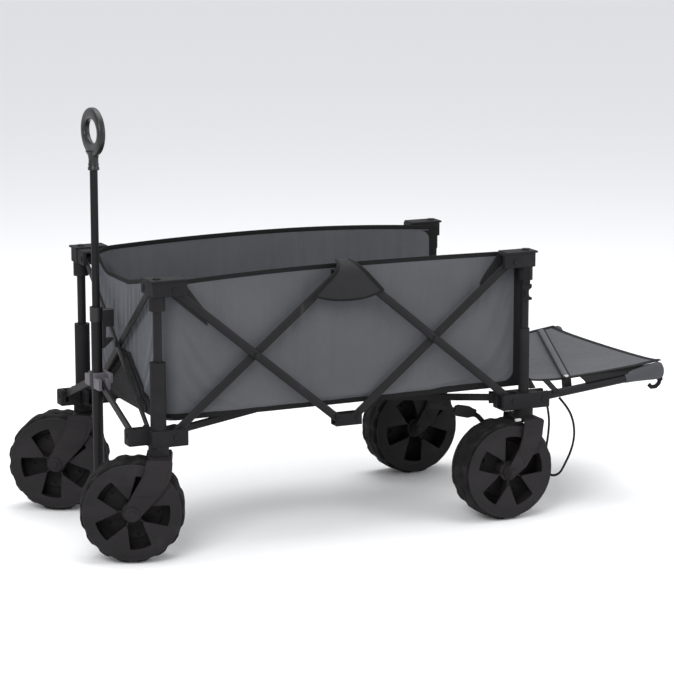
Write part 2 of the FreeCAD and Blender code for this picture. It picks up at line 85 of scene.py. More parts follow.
def aimed(name, data, place, along):
    """A camera or light at a place, looking along a direction."""
    made = linked(name, data)
    made.location = place
    made.rotation_mode = "QUATERNION"
    made.rotation_quaternion = along.to_track_quat("-Z", "Y")
    return made


def add_camera():
    azimuth, elevation = math.radians(CAMERA_AZIMUTH), math.radians(CAMERA_ELEVATION)
    flat = math.cos(elevation)
    back = Vector((math.sin(azimuth) * flat, -math.cos(azimuth) * flat, math.sin(elevation)))
    data = bpy.data.cameras.new("camera")
    data.lens = CAMERA_LENS
    data.sensor_width = 36
    data.clip_end = 60
    bpy.context.scene.camera = aimed("camera", data, CAMERA_TARGET + back * CAMERA_DISTANCE, -back)


# Each light's name, place, size and power. All of them look at one point.
LIGHTS = (("key", (-3.2, -3.6, 3.6), 2.6, 190), ("fill", (3.6, -3.4, 2.2), 3.0, 80),
          ("top", (0.4, 0.6, 3.8), 3.0, 90))
LIGHT_TARGET = Vector((0, 0, 0.3))


def add_studio():
    mesh = bpy.data.meshes.new("floor")
    far = 30
    mesh.from_pydata([(-far, -far, 0), (far, -far, 0), (far, far, 0), (-far, far, 0)], [], [(0, 1, 2, 3)])
    floor = linked("floor", mesh)
    material = bpy.data.materials.new("studio_floor")
    material.use_nodes = True
    shader = material.node_tree.nodes["Principled BSDF"]
    shader.inputs["Base Color"].default_value = (0.88, 0.88, 0.88, 1)
    shader.inputs["Roughness"].default_value = 0.9
    mesh.materials.append(material)
    world = bpy.data.worlds.new("studio")
    world.use_nodes = True
    world.node_tree.nodes["Background"].inputs["Color"].default_value = (0.96, 0.97, 1, 1)
    world.node_tree.nodes["Background"].inputs["Strength"].default_value = 0.85
    bpy.context.scene.world = world
    for name, place, size, power in LIGHTS:
        data = bpy.data.lights.new(name, "AREA")
        data.size = size
        data.energy = power
        aimed(name, data, place, LIGHT_TARGET - Vector(place))
    bpy.context.scene.view_settings.view_transform = "Standard"


# ---- materials -------------------------------------------
class Finish:
    """A node material built around one Principled shader, in object coordinates."""

    def __init__(self, name):
        self.material = bpy.data.materials.new(name)
        self.material.use_nodes = True
        self.tree = self.material.node_tree
        self.shader = self.tree.nodes["Principled BSDF"]
        self.place = self.node("TexCoord").outputs["Object"]

    def link(self, output, target):
        self.tree.links.new(output, target)

    def node(self, kind, **values):
        node = self.tree.nodes.new(f"ShaderNode{kind}")
        for name, value in values.items():
            node.inputs[name].default_value = value
        return node

    def noise(self, scale, detail=3.0, stretch=(1, 1, 1)):
        node = self.node("TexNoise", Scale=scale, Detail=detail)
        self.link(self.stretched(stretch), node.inputs["Vector"])
        return node.outputs["Fac"]

    def stretched(self, stretch):
        if stretch == (1, 1, 1):
            return self.place
        node = self.node("Mapping", Scale=stretch)
        self.link(self.place, node.inputs["Vector"])
        return node.outputs["Vector"]

    def waves(self, axis, pitch, distortion=0.0):
        node = self.node("TexWave", Scale=math.tau / 20 / pitch, Distortion=distortion)
        node.wave_type = "BANDS"
        node.bands_direction = axis
        self.link(self.place, node.inputs["Vector"])
        return node.outputs["Fac"]

    def math(self, operation, first, second):
        node = self.node("Math")
        node.operation = operation
        for socket, value in zip(node.inputs, (first, second)):
            if isinstance(value, (int, float)):
                socket.default_value = value
            else:
                self.link(value, socket)
        return node.outputs[0]

    def spread(self, value, low, high, start=0.0, end=1.0):
        ends = {"From Min": start, "From Max": end, "To Min": low, "To Max": high}
        node = self.node("MapRange", **ends)
        self.link(value, node.inputs["Value"])
        return node.outputs["Result"]

    def blend(self, share, first, second):
        node = self.node("Mix")
        node.data_type = "RGBA"
        self.link(share, node.inputs["Factor"])
        for socket, value in ((node.inputs[6], first), (node.inputs[7], second)):
            if isinstance(value, tuple):
                socket.default_value = (*value, 1)
            else:
                self.link(value, socket)
        return node.outputs[2]

    def bump(self, height, strength, distance, under=None):
        node = self.node("Bump", Strength=strength, Distance=distance)
        self.link(height, node.inputs["Height"])
        if under is not None:
            self.link(under, node.inputs["Normal"])
        return node.outputs["Normal"]

    def finished(self, color, roughness, normal, specular, **constants):
        self.link(color, self.shader.inputs["Base Color"])
        self.link(roughness, self.shader.inputs["Roughness"])
        self.link(normal, self.shader.inputs["Normal"])
        self.shader.inputs["Specular IOR Level"].default_value = specular
        for name, value in constants.items():
            self.shader.inputs[name.replace("_", " ").title()].default_value = value
        return self.material


def shade(color, factor):
    return tuple(channel * factor for channel in color)


def woven(name, color, pitch=1.1 * MM, sheen=0.12):
    """Polyester cloth: a plain weave, slubs in the thread, and soft blotches of colour."""
    look = Finish(name)
    weft = look.waves("X", pitch)
    warp = look.waves("Z", pitch)
    cross = look.waves("Y", pitch)
    weave = look.math("MULTIPLY", look.math("ADD", weft, cross), warp)
    blotch = look.spread(look.noise(7, 4), 0, 1, 0.3, 0.7)
    slub = look.noise(900, 2, (0.04, 0.04, 1))
    base = look.blend(blotch, shade(color, 0.9), shade(color, 1.1))
    tone = look.blend(look.spread(weave, 0.24, 0, 0, 1.2), base, shade(color, 0.62))
    tone = look.blend(look.spread(slub, 0, 0.25, 0.55, 0.8), tone, shade(color, 1.35))
    crease = look.bump(look.noise(16, 5), 0.28, 6 * MM)
    fine = look.bump(weave, 0.35, 0.25 * MM, crease)
    rough = look.spread(look.noise(30), 0.72, 0.88)
    return look.finished(tone, rough, fine, 0.25, sheen_weight=sheen, sheen_roughness=0.5)


def webbing(name, color, pitch=2.2 * MM):
    """Narrow woven tape: ribs across it and a fine herringbone."""
    look = Finish(name)
    ribs = look.math("ADD", look.waves("X", pitch, 1.0), look.waves("Z", pitch, 1.0))
    tone = look.blend(look.spread(ribs, 0, 0.6, 0.2, 1.8), shade(color, 0.7), shade(color, 1.25))
    normal = look.bump(ribs, 0.45, 0.3 * MM)
    rough = look.spread(look.noise(80), 0.7, 0.86)
    return look.finished(tone, rough, normal, 0.15, sheen_weight=0.02)


def powder_coat(name, color, rough=0.42, specular=0.14):
    """Black powder coat: orange peel, faint dust and small scuffs that are smoother and paler."""
    look = Finish(name)
    scuff = look.spread(look.noise(60, 6, (1, 1, 0.25)), 0, 1, 0.66, 0.72)
    dust = look.spread(look.noise(5, 4), 0, 0.35, 0.45, 0.8)
    base = look.blend(dust, color, shade(color, 1.7))
    tone = look.blend(scuff, base, shade(color, 2.2))
    normal = look.bump(look.noise(700, 2), 0.12, 0.2 * MM)
    dull = look.spread(look.noise(12), rough, rough + 0.16)
    roughness = look.math("SUBTRACT", dull, look.spread(scuff, 0, 0.08))
    return look.finished(tone, roughness, normal, specular)


def moulded(name, color, rough=0.55, grain=0.3, specular=0.13):
    """Moulded plastic: spark-eroded grain, flow marks and rubbed patches."""
    look = Finish(name)
    rubbed = look.spread(look.noise(24, 5), 0, 0.5, 0.55, 0.75)
    flow = look.spread(look.noise(6, 2, (1, 1, 3)), 0, 1, 0.35, 0.7)
    base = look.blend(flow, shade(color, 0.85), shade(color, 1.2))
    tone = look.blend(rubbed, base, shade(color, 1.6))
    normal = look.bump(look.noise(1400, 2), grain, 0.12 * MM)
    roughness = look.spread(look.noise(15, 4), rough, rough + 0.2)
    return look.finished(tone, roughness, normal, specular)


def tread(name, color):
    """Soft tyre: dull, dusty in places, with fine pitting."""
    look = Finish(name)
    dust = look.spread(look.noise(40, 6), 0, 1, 0.45, 0.75)
    tone = look.blend(dust, shade(color, 0.8), shade(color, 1.9))
    normal = look.bump(look.noise(500, 4), 0.35, 0.4 * MM)
    return look.finished(tone, look.spread(look.noise(25), 0.68, 0.9), normal, 0.1)


def zinc(name):
    """Plated fasteners: bright, with a slight tarnish."""
    look = Finish(name)
    tarnish = look.noise(180, 4)
    tone = look.blend(tarnish, (0.32, 0.32, 0.33), (0.6, 0.6, 0.61))
    normal = look.bump(look.noise(900, 2), 0.1, 0.1 * MM)
    return look.finished(tone, look.spread(tarnish, 0.25, 0.45), normal, 0.5, metallic=0.9)


LOOKS = {
    "liner_fabric": woven("liner_cloth", (0.065, 0.067, 0.073)),
    # The front wall's copy of the liner cloth is darker and bluer than the sides': painted shade.
    "liner_front": woven("liner_cloth_front_shaded", (0.056, 0.061, 0.072)),
    "patch_cloth": woven("black_patch_cloth", (0.012, 0.012, 0.013), 0.9 * MM, 0.02),
    "tail_fabric": woven("tail_cloth", (0.047, 0.048, 0.054)),
    "webbing": webbing("black_webbing", (0.0060, 0.0060, 0.0066)),
    "stitching": webbing("thread", (0.022, 0.022, 0.024), 0.8 * MM),
    "black_tube": powder_coat("black_powder_coat", (0.0090, 0.0083, 0.0091)),
    "handle_tube": powder_coat("satin_handle_tube", (0.0062, 0.0058, 0.0068), 0.36, 0.16),
    "bracket_plastic": moulded("bracket_plastic", (0.0104, 0.0095, 0.0105)),
    "hub_plastic": moulded("hub_plastic", (0.0076, 0.0071, 0.0078), 0.6),
    "fork_plastic": moulded("fork_plastic", (0.0140, 0.0120, 0.0131), 0.5),
    "wheel_plastic": moulded("wheel_plastic", (0.0142, 0.0128, 0.0137), 0.5),
    "grip_plastic": moulded("grip_plastic", (0.0060, 0.0055, 0.0064), 0.3, 0.3, 0.4),
    "yoke_plastic": moulded("yoke_plastic", (0.090, 0.084, 0.096), 0.45, 0.3, 0.4),
    "tyre": tread("tyre_tread", (0.0100, 0.0094, 0.0099)),
    "fasteners": zinc("zinc_plate"),
}


# ---- mesh helpers ----------------------------------------
def turned_to(axis, upright=UP):
    """A rotation that takes Z to the axis, and Y as near to upright as it can."""
    z = Vector(axis).normalized()
    x = Vector(upright).cross(z)
    if x.length < 1e-6:
        x = Vector((1, 0, 0))
    x.normalize()
    y = z.cross(x)
    return Matrix((x, y, z)).transposed().to_4x4()


def at(place, rotation=Matrix()):
    return Matrix.Translation(place) @ rotation


def arc(centre, radius, start, end, steps):
    """Points of a round stretch, angles in degrees."""
    points = []
    for k in range(steps + 1):
        angle = math.radians(start + (end - start) * k / steps)
        points.append((centre[0] + radius * math.cos(angle), centre[1] + radius * math.sin(angle)))
    return points


def circle(radius, steps, centre=(0, 0)):
    return arc(centre, radius, 0, 360, steps)[:-1]


def spun(profile, angle):
    """Points of a (radius, height) profile at an angle about Z."""
    return [(r * math.cos(angle), r * math.sin(angle), h) for r, h in profile]


def flipped(side):
    """A half turn about X for the lower one of two mirrored faces."""
    return Matrix.Rotation(math.pi if side < 0 else 0, 4, "X")


def rounded(corners, radius, steps=4):
    """A closed outline with its corners rounded."""
    points = []
    count = len(corners)
    for k in range(count):
        corner = Vector(corners[k])
        back = (Vector(corners[k - 1]) - corner).normalized()
        on = (Vector(corners[(k + 1) % count]) - corner).normalized()
        for m in range(steps + 1):
            share = m / steps
            pull = corner + back * radius * (1 - share) ** 2 + on * radius * share**2
            points.append((pull.x, pull.y))
    return points


class Shape:
    """A mesh put together from lathed, swept and plate parts, then made into one piece."""

    def __init__(self):
        self.mesh = bmesh.new()

    def add(self, points, faces, matrix=Matrix()):
        made = [self.mesh.verts.new(matrix @ Vector(point)) for point in points]
        for face in faces:
            self.mesh.faces.new([made[index] for index in face])

    def lathe(self, profile, steps, matrix=Matrix()):
        """A closed profile of (radius, height) turned about Z."""
        points = [point for k in range(steps) for point in spun(profile, math.tau * k / steps)]
        self.add(points, ring_faces(steps, len(profile), True, True), matrix)

    def disc(self, radius, low, high, edge, matrix=Matrix(), steps=32):
        """A round boss or rivet head with a softened top edge."""
        rings = [(radius, low), (radius, high - edge)]
        rings += [(radius - edge * 0.3, high - edge * 0.3), (radius - edge, high)]
        points = [(0, 0, low)]
        for k in range(steps):
            points += spun(rings, math.tau * k / steps)
        points.append((0, 0, high))
        wide = len(rings)
        faces = []
        for k in range(steps):
            a, b = 1 + k * wide, 1 + (k + 1) % steps * wide
            faces.append((0, b, a))
            faces += [(a + m, b + m, b + m + 1, a + m + 1) for m in range(wide - 1)]
            faces.append((a + wide - 1, b + wide - 1, len(points) - 1))
        self.add(points, faces, matrix)

    def plate(self, loops, thick, bevel, matrix=Matrix()):
        """A flat plate about z = 0 with outline, holes and softened edges."""
        curve = bpy.data.curves.new("plate", "CURVE")
        curve.dimensions = "2D"
        curve.fill_mode = "BOTH"
        curve.extrude = thick / 2 - bevel
        curve.bevel_depth = bevel
        curve.bevel_resolution = 2
        curve.offset = -bevel
        for loop in loops:
            spline = curve.splines.new("POLY")
            spline.points.add(len(loop) - 1)
            for point, (x, y) in zip(spline.points, loop):
                point.co = (x, y, 0, 1)
            spline.use_cyclic_u = True
        carrier = bpy.data.objects.new("plate", curve)
        made = bpy.data.meshes.new_from_object(carrier)
        made.transform(matrix)
        self.mesh.from_mesh(made)
        bpy.data.objects.remove(carrier)
        bpy.data.meshes.remove(made)

    def block(self, low, high, bevel, matrix=Matrix()):
        """A box with rounded edges between two corners."""
        low, high = Vector(low), Vector(high)
        middle, size = (low + high) / 2, high - low
        half_x, half_y = size.x / 2, size.y / 2
        corners = [(-half_x, -half_y), (half_x, -half_y), (half_x, half_y), (-half_x, half_y)]
        self.plate([rounded(corners, bevel * 2)], size.z, bevel, matrix @ Matrix.Translation(middle))

    def sweep(self, path, section, side, closed=False, matrix=Matrix()):
        """A section of (across, along side) points carried along a path. Side is one direction, or one per
        point of the path."""
        path = [Vector(point) for point in path]
        count = len(path)
        points = []
        for k, place in enumerate(path):
            before = path[k - 1] if k or closed else path[0]
            after = path[(k + 1) % count] if k < count - 1 or closed else path[-1]
            along = (after - before).normalized()
            lean = Vector(side[k] if isinstance(side, list) else side)
            lean = (lean - along * lean.dot(along)).normalized()
            across = along.cross(lean)
            points += [place + across * a + lean * b for a, b in section]
        faces = ring_faces(count, len(section), closed, True)
        if not closed:
            last = len(points) - len(section)
            faces.append(tuple(range(len(section))))
            faces.append(tuple(range(last, len(points)))[::-1])
        self.add(points, faces, matrix)

    def done(self, name, look, body, slot=None, replaces=(), crisp=32):
        """Makes the piece: outward faces, smooth shading with crisp edges, its material and its body."""
        bmesh.ops.remove_doubles(self.mesh, verts=self.mesh.verts, dist=0.01 * MM)
        bmesh.ops.recalc_face_normals(self.mesh, faces=self.mesh.faces)
        limit = math.radians(crisp)
        for face in self.mesh.faces:
            face.smooth = True
        for edge in self.mesh.edges:
            edge.smooth = len(edge.link_faces) == 2 and edge.calc_face_angle(0) < limit
        data = bpy.data.meshes.new(name)
        self.mesh.to_mesh(data)
        self.mesh.free()
        data.materials.append(LOOKS[look])
        return dressed(linked(name, data), body, replaces)


def ring_faces(rings, wide, closed_along, closed_around):
    """Faces of a grid of rings, each wide points round."""
    faces = []
    for k in range(rings if closed_along else rings - 1):
        a, b = k * wide, (k + 1) % rings * wide
        for m in range(wide if closed_around else wide - 1):
            n = (m + 1) % wide
            faces.append((a + m, a + n, b + n, b + m))
    return faces


def dressed(piece, body, replaces=()):
    """Puts a finished piece on its body and what it stands for."""
    if body:
        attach(piece, body)
    if replaces:
        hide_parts(*replaces)
    return piece


def oval(half_wide, half_thick, steps=20, power=2.6):
    """A rounded-flat tube section."""
    points = []
    for k in range(steps):
        angle = math.tau * k / steps
        c, s = math.cos(angle), math.sin(angle)
        points.append((
            half_wide * math.copysign(abs(c) ** (2 / power), c),
            half_thick * math.copysign(abs(s) ** (2 / power), s),
        ))
    return points


# ---- cords -----------------------------------------------
LOOP_PLACE = -0.236
LOOP_WIDTH = 6 * MM
LOOP_ROUTE = [  # (lengthwise, height), the same points as the part's
    (563, 271), (588, 244), (604, 208), (607, 170), (597, 134), (578.6, 101.5), (567.9, 84.7),
    (548.5, 80.4), (531.7, 91), (527.4, 110.5), (529, 148), (536, 190), (537, 230), (529, 262),
]


def hanging_loop():
    """The thin webbing pull loop that hangs from the near tailgate tube."""
    curve = bpy.data.curves.new("pull_loop_webbing", "CURVE")
    curve.dimensions = "3D"
    curve.extrude = LOOP_WIDTH / 2 - 0.6 * MM
    curve.bevel_depth = 0.6 * MM
    curve.resolution_u = 12
    spline = curve.splines.new("NURBS")
    spline.points.add(len(LOOP_ROUTE) - 1)
    for point, (x, z) in zip(spline.points, LOOP_ROUTE):
        point.co = (x * MM, LOOP_PLACE, z * MM, 1)
    spline.order_u = 3
    spline.use_endpoint_u = True
    curve.materials.append(LOOKS["webbing"])
    piece = dressed(linked("pull_loop_webbing", curve), "tail_near", ("pull_loop",))


# ---- wheels ----------------------------------------------
TREAD_R = 118 * MM
TREAD_HALF = 36 * MM
LUGS = 16
WINDOWS = 5
WINDOW_STEP = 360 / WINDOWS
# How far each wheel stands turned, in degrees.
WINDOW_DEG = {"near_front": 41, "near_rear": 25, "far_front": 63, "far_rear": 63}
NUBS = 28


def tyre_radius(angle, v):
    """Outside radius of the tread at an angle and a distance from the middle plane."""
    across = abs(v) / TREAD_HALF
    turn = angle / math.tau * LUGS
    notch = (1.2 + 3.0 * min(1.0, across / 0.6) ** 2) * MM * groove(turn, 0.36, 0.34)
    middle = 1.8 * MM * groove(turn + 0.5, 0.2, 0.14) * max(0.0, 1 - across / 0.34)
    ring = 2.0 * MM * math.exp(-((across - 0.46) / 0.06) ** 2)
    crown = 1.2 * MM * across**2
    edge = 4.5 * MM * (max(0.0, across - 0.84) / 0.15) ** 2
    return TREAD_R - crown - ring - edge - middle - notch


def groove(turn, width, slope):
    """1 in the groove between two lugs, 0 on a lug, with sloped walls."""
    phase = abs(turn - round(turn)) * 2
    share = min(1.0, max(0.0, (width + slope - phase) / (2 * slope)))
    return share * share * (3 - 2 * share)


def tyre_piece(corner, body, matrix):
    """Wide tyre between the wheel's flanges: sixteen rounded lugs, deepest at both shoulders."""
    steps = LUGS * 20
    across = [-0.99, -0.94, -0.88, -0.78, -0.6, -0.52, -0.46, -0.40, -0.3, -0.15]
    across += [0] + [-share for share in reversed(across)]
    flank = [(92, 35), (104, 35.5), (109, 35.8)]
    points = []
    for k in range(steps):
        angle = math.tau * k / steps
        ring = in_mm((r, -v) for r, v in flank)
        ring += [(tyre_radius(angle, share * TREAD_HALF), share * TREAD_HALF) for share in across]
        ring += in_mm(reversed(flank))
        points += spun(ring, angle)
    shape = Shape()
    shape.add(points, ring_faces(steps, len(points) // steps, True, True), matrix)
    shape.done(f"tyre_tread_{corner}", "tyre", body, replaces=(f"tyre_{corner}",), crisp=38)


def star_opening(turn):
    """The opening inside a flange's rim: five windows that meet round the hub, between pointed spokes."""
    points = []
    for k in range(WINDOWS):
        middle = math.radians(turn + WINDOW_STEP * k)
        side = [(28, -17.5)] + arc((0, 0), 84.5, -16.5, 16.5, 5) + [(28, 17.5)]
        points += [((Vector(point) * MM) @ Matrix.Rotation(-middle, 2)).to_tuple() for point in side]
    return rounded(points, 1.8 * MM, 3)


def wheel_piece(corner, body, matrix, turn):
    """Moulded wheel: rim barrel, web with small blind holes, ribs, hub, and two flanges with windows."""
    shape = Shape()
    shape.lathe(in_mm([(91.5, -40), (91.5, 40), (88, 40), (88, -40)]), 96, matrix)
    holes = []
    for k in range(WINDOWS):
        hole_at, = spun([(59 * MM, 0)], math.radians(turn + WINDOW_STEP * k))
        holes.append(circle(4.5 * MM, 16, hole_at))
    shape.plate([circle(68 * MM, 80)] + holes, 12 * MM, 1 * MM, matrix)
    shape.plate([circle(88.5 * MM, 80)], 4 * MM, 0.5 * MM, matrix)
    rim = circle(108 * MM, 96)
    bead = [(105, 39), (109, 39.2), (110.4, 40.6), (110.4, 42.8), (109.2, 44.8), (107, 45.5), (105, 45.2)]
    for side in (-1, 1):
        flip = matrix @ flipped(side)
        face = matrix @ at((0, 0, side * 42 * MM))
        shape.plate([rim, star_opening(turn)], 6 * MM, 1.1 * MM, face)
        shape.lathe(in_mm((r, side * v) for r, v in bead), 120, matrix)
        shape.disc(24 * MM, 0, 38 * MM, 3 * MM, flip, 48)
        shape.disc(17 * MM, 30 * MM, 48.2 * MM, 1.5 * MM, flip, 40)
        for k in range(NUBS):
            nub, = spun([(101 * MM, 0)], math.tau * k / NUBS)
            shape.disc(1.7 * MM, 44 * MM, 45.9 * MM, 0.7 * MM, flip @ at(nub), 8)
    for k in range(WINDOWS):
        rib = matrix @ Matrix.Rotation(math.radians(turn + WINDOW_STEP * (k + 0.5)), 4, "Z")
        shape.block((20 * MM, -1.6 * MM, -40 * MM), (89 * MM, 1.6 * MM, 40 * MM), 0.5 * MM, rib)
    shape.done(f"wheel_disc_{corner}", "wheel_plastic", body, replaces=(f"wheel_{corner}",), crisp=30)


# Outline of a fork leg, lengthwise from the post and height in mm: down its rear side, the round eye's
# radius and the angles where it starts and ends, and up its front side.
WIDE_LEG = ([(-26, 239), (25, 239), (31, 233), (29, 205), (21, 184), (4, 160)], (19, -42, -200),
            [(-60, 160), (-40, 195), (-33, 208)])
SLIM_LEG = ([(-24, 240), (24, 240), (28, 235), (26, 222), (23, 197), (8, 168), (-18, 129)], (13, -55, -211),
            [(-38, 172), (-27, 206)])


def fork_piece(corner, body, post, axle, swivels):
    """Fork: crown, two tapering legs with a raised rim, and the axle bolt."""
    along = Vector((post.x - axle.x, post.y - axle.y, 0)).normalized()
    across = UP.cross(along)
    trail = (post.xy - axle.xy).length
    frame_of = at(post, Matrix((along, UP, -across)).transposed().to_4x4())
    hub = frame_of @ at((-trail, axle.z, 0))
    down, (eye, start, end), up = WIDE_LEG if swivels else SLIM_LEG
    leg = down + arc((-trail / MM, axle.z / MM), eye, start, end, 16) + up
    top = down[0][1] * MM
    middle = Vector((sum(x for x, _ in leg) / len(leg), sum(z for _, z in leg) / len(leg)))
    shape = Shape()
    for side in (-1, 1):
        out = frame_of @ at((0, 0, side * 51.5 * MM))
        shape.plate([rounded(in_mm(leg), 0.9 * MM, 2)], 5 * MM, 1.4 * MM, out)
        shape.disc((eye - 3) * MM, 53 * MM, 56.6 * MM, 1 * MM, hub @ flipped(side), 40)
        inset = [tuple((middle + (Vector(p) - middle) * 0.86) * MM) for p in down[:1] + down[2:] + up]
        face = frame_of @ at((0, 0, side * 53.9 * MM))
        shape.plate([rounded(inset, 5 * MM)], 2.0 * MM, 0.9 * MM, face)
    upright = frame_of @ Matrix.Rotation(-math.pi / 2, 4, "X")
    shape.block((-18 * MM, -53 * MM, top - 8 * MM), (down[3][0] * MM, 53 * MM, top), 2 * MM, upright)
    if swivels:
        shape.disc(8 * MM, top - 2 * MM, 257 * MM, 0.5 * MM, at(post))
    shape.disc(25 * MM, top - 12 * MM, top - 0.4 * MM, 2 * MM, at(post), 40)
    shape.done(f"fork_{corner}_moulded", "fork_plastic", body, replaces=(f"fork_{corner}",))
    bolt = Shape()
    for side in (-1, 1):
        face = hub @ flipped(side)
        bolt.disc(10 * MM, 56 * MM, 57.2 * MM, 0.5 * MM, face, 36)
        bolt.plate([circle(7.5 * MM, 6)], 3 * MM, 0.7 * MM, face @ at((0, 0, 58.4 * MM)))
    bolt.lathe(in_mm([(0.1, -54), (5.9, -54), (5.9, 54), (0.1, 54)]), 24, hub)
    bolt.done(f"axle_bolt_{corner}", "fork_plastic", body)


def wheels():
    for side, sign in SIDES:
        for end, sense in ENDS:
            corner = f"{side}_{end}"
            axle = joint_place(f"wheel_{corner}_spin")
            matrix = at(axle, turned_to(JOINTS[f"wheel_{corner}_spin"]["axis"]))
            post = Vector((sense * POST_X, sign * POST_Y, 0))
            body = f"caster_{side}" if end == "front" else f"corner_{corner}"
            tyre_piece(corner, f"wheel_{corner}", matrix)
            wheel_piece(corner, f"wheel_{corner}", matrix, WINDOW_DEG[corner])
            fork_piece(corner, body, post, axle, end == "front")


# ---- frame bars ------------------------------------------
BAR_WIDE = 19 * MM
SIDE_BAR_THICK = 9 * MM
INNER_BAR_Y, OUTER_BAR_Y = 0.2405, 0.2505
HUB_PIVOT_X, BAR_PIVOT_X = 0.023, 0.426
BAR_SLOPE = 0.824  # rise of a side bar over its reach


def bar_piece(node, start, end, side, thick, body, rivet_at=()):
    """A flattened tube between two pivots, with rivet heads where others cross it."""
    start, end, side = Vector(start), Vector(end), Vector(side)
    along = (end - start).normalized()
    reach = along * BAR_WIDE / 2
    shape = Shape()
    full = oval(BAR_WIDE / 2, thick / 2)
    shape.sweep([start - reach * 0.6, start, end, end + reach * 0.6], full, side)
    for tip, inner in ((start - reach, start - reach * 0.6), (end + reach, end + reach * 0.6)):
        small = [(a * 0.55, b * 0.9) for a, b in full]
        lean = side.normalized()
        run = (tip - inner).normalized()
        across = run.cross(lean)
        outer_ring = [tip + across * a + lean * b for a, b in small]
        inner_ring = [inner + across * a + lean * b for a, b in full]
        shape.add(inner_ring + outer_ring, ring_faces(2, len(full), False, True) + [tuple(range(20, 40))])
    for place in rivet_at:
        shape.disc(7.5 * MM, 0, 3.0 * MM, 1.2 * MM, at(place, turned_to(side)), 28)
    return shape.done(f"{node}_tube", "black_tube", body, replaces=(node,))


def side_bars():
    for side, sign in SIDES:
        hub, corner = HUB_PIVOT_X, BAR_PIVOT_X
        plan = ((1, -hub, -corner, OUTER_BAR_Y), (2, -corner, -hub, INNER_BAR_Y),
                (3, corner, hub, OUTER_BAR_Y), (4, hub, corner, INNER_BAR_Y))
        for number, x0, x1, reach in plan:
            y = sign * reach
            middle = Vector(((x0 + x1) / 2, y + sign * SIDE_BAR_THICK / 2, (LOW_Z + HIGH_Z) / 2))
            heads = [middle] if reach == OUTER_BAR_Y else []
            bar_piece(f"side_bar_{number}_{side}", (x0, y, LOW_Z), (x1, y, HIGH_Z), Vector((0, sign, 0)),
                      SIDE_BAR_THICK, f"bar_{number}_{side}", heads)


def front_bars():
    reach = 0.2015
    for number, x, y0 in ((1, -0.465, -reach), (2, -0.457, reach)):
        heads = [Vector((x - 3 * MM, 0, (LOW_Z + HIGH_Z) / 2))] if number == 1 else []
        bar_piece(f"front_bar_{number}", (x, y0, LOW_Z), (x, -y0, HIGH_Z), Vector((-1, 0, 0)), 6 * MM,
                  f"front_bar_{number}", heads)


# ---- liner -----------------------------------------------
def cloth_piece(name, columns, rows, place, look="liner_fabric"):
    """An open grid of cloth; place(s, t) gives each point for s, t from 0 to 1."""
    points = [place(c / columns, r / rows) for r in range(rows + 1) for c in range(columns + 1)]
    mesh = bpy.data.meshes.new(name)
    mesh.from_pydata([tuple(point) for point in points], [], ring_faces(rows + 1, columns + 1, False, False))
    mesh.materials.append(LOOKS[look])
    for polygon in mesh.polygons:
        polygon.use_smooth = True
    return linked(name, mesh)


def settle(piece, held, spare, furthest, kept_in, frames=22):
    """Cloth simulation with a little spare cloth, pinned where held(point) says. Points move furthest at
    most, and kept_in(point) holds them clear of the frame."""
    group = piece.vertex_groups.new(name="held")
    group.add([v.index for v in piece.data.vertices if held(v.co)], 1.0, "REPLACE")
    rest = [v.co.copy() for v in piece.data.vertices]
    cloth = piece.modifiers.new("cloth", "CLOTH")
    values = {"quality": 5, "mass": 0.25, "tension_stiffness": 25, "compression_stiffness": 12,
              "bending_stiffness": 1.2, "shrink_min": -spare, "vertex_group_mass": "held"}
    for name, value in values.items():
        setattr(cloth.settings, name, value)
    cloth.collision_settings.use_collision = False
    scene = bpy.context.scene
    for number in range(1, frames + 1):
        scene.frame_set(number)
    graph = bpy.context.evaluated_depsgraph_get()
    moved = [v.co.copy() for v in piece.evaluated_get(graph).data.vertices]
    piece.modifiers.clear()
    piece.vertex_groups.clear()
    for vertex, old, new in zip(piece.data.vertices, rest, moved):
        shift = new - old
        if shift.length > furthest:
            shift *= furthest / shift.length
        vertex.co = kept_in(old + shift)
    scene.frame_set(1)


class Laid:
    """Places on a settled cloth grid, so that patches and tapes sewn on it follow its folds."""

    def __init__(self, piece, columns, rows, outward):
        self.points = [v.co.copy() for v in piece.data.vertices]
        self.columns, self.rows, self.outward = columns, rows, outward

    def __call__(self, s, t, lift=0.0):
        c = min(max(s, 0.0), 1.0) * self.columns
        r = min(max(t, 0.0), 1.0) * self.rows
        c0, r0 = min(int(c), self.columns - 1), min(int(r), self.rows - 1)
        wide = self.columns + 1
        low = self.points[r0 * wide + c0].lerp(self.points[r0 * wide + c0 + 1], c - c0)
        high = self.points[(r0 + 1) * wide + c0].lerp(self.points[(r0 + 1) * wide + c0 + 1], c - c0)
        return low.lerp(high, r - r0) + self.outward(s) * lift

    def row(self, t, steps, lift=0.0):
        return [self(k / steps, t, lift) for k in range(steps + 1)]

    def column(self, s, steps, lift=0.0):
        return [self(s, k / steps, lift) for k in range(steps + 1)]


def thickened(piece, thick=1.2 * MM, smooth=True):
    """Gives a settled sheet one subdivision and its thickness, as plain mesh."""
    if smooth:
        fine = piece.modifiers.new("fine", "SUBSURF")
        fine.levels = fine.render_levels = 1
    solid = piece.modifiers.new("thick", "SOLIDIFY")
    solid.thickness = thick
    solid.offset = 0
    data = bpy.data.meshes.new_from_object(piece.evaluated_get(bpy.context.evaluated_depsgraph_get()))
    piece.modifiers.clear()
    old = piece.data
    piece.data = data
    bpy.data.meshes.remove(old)
    for polygon in data.polygons:
        polygon.use_smooth = True
    return piece


def fold_line(s, t, start, end, width):
    """1 on the line between two points of the cloth's own square, fading to 0 a width away."""
    a, b, p = Vector(start), Vector(end), Vector((s, t))
    run = b - a
    share = min(1.0, max(0.0, (p - a).dot(run) / run.length_squared))
    gap = (p - a - run * share).length
    return math.exp(-((gap / width) ** 2)) * math.sin(math.pi * min(1.0, max(0.05, share)))


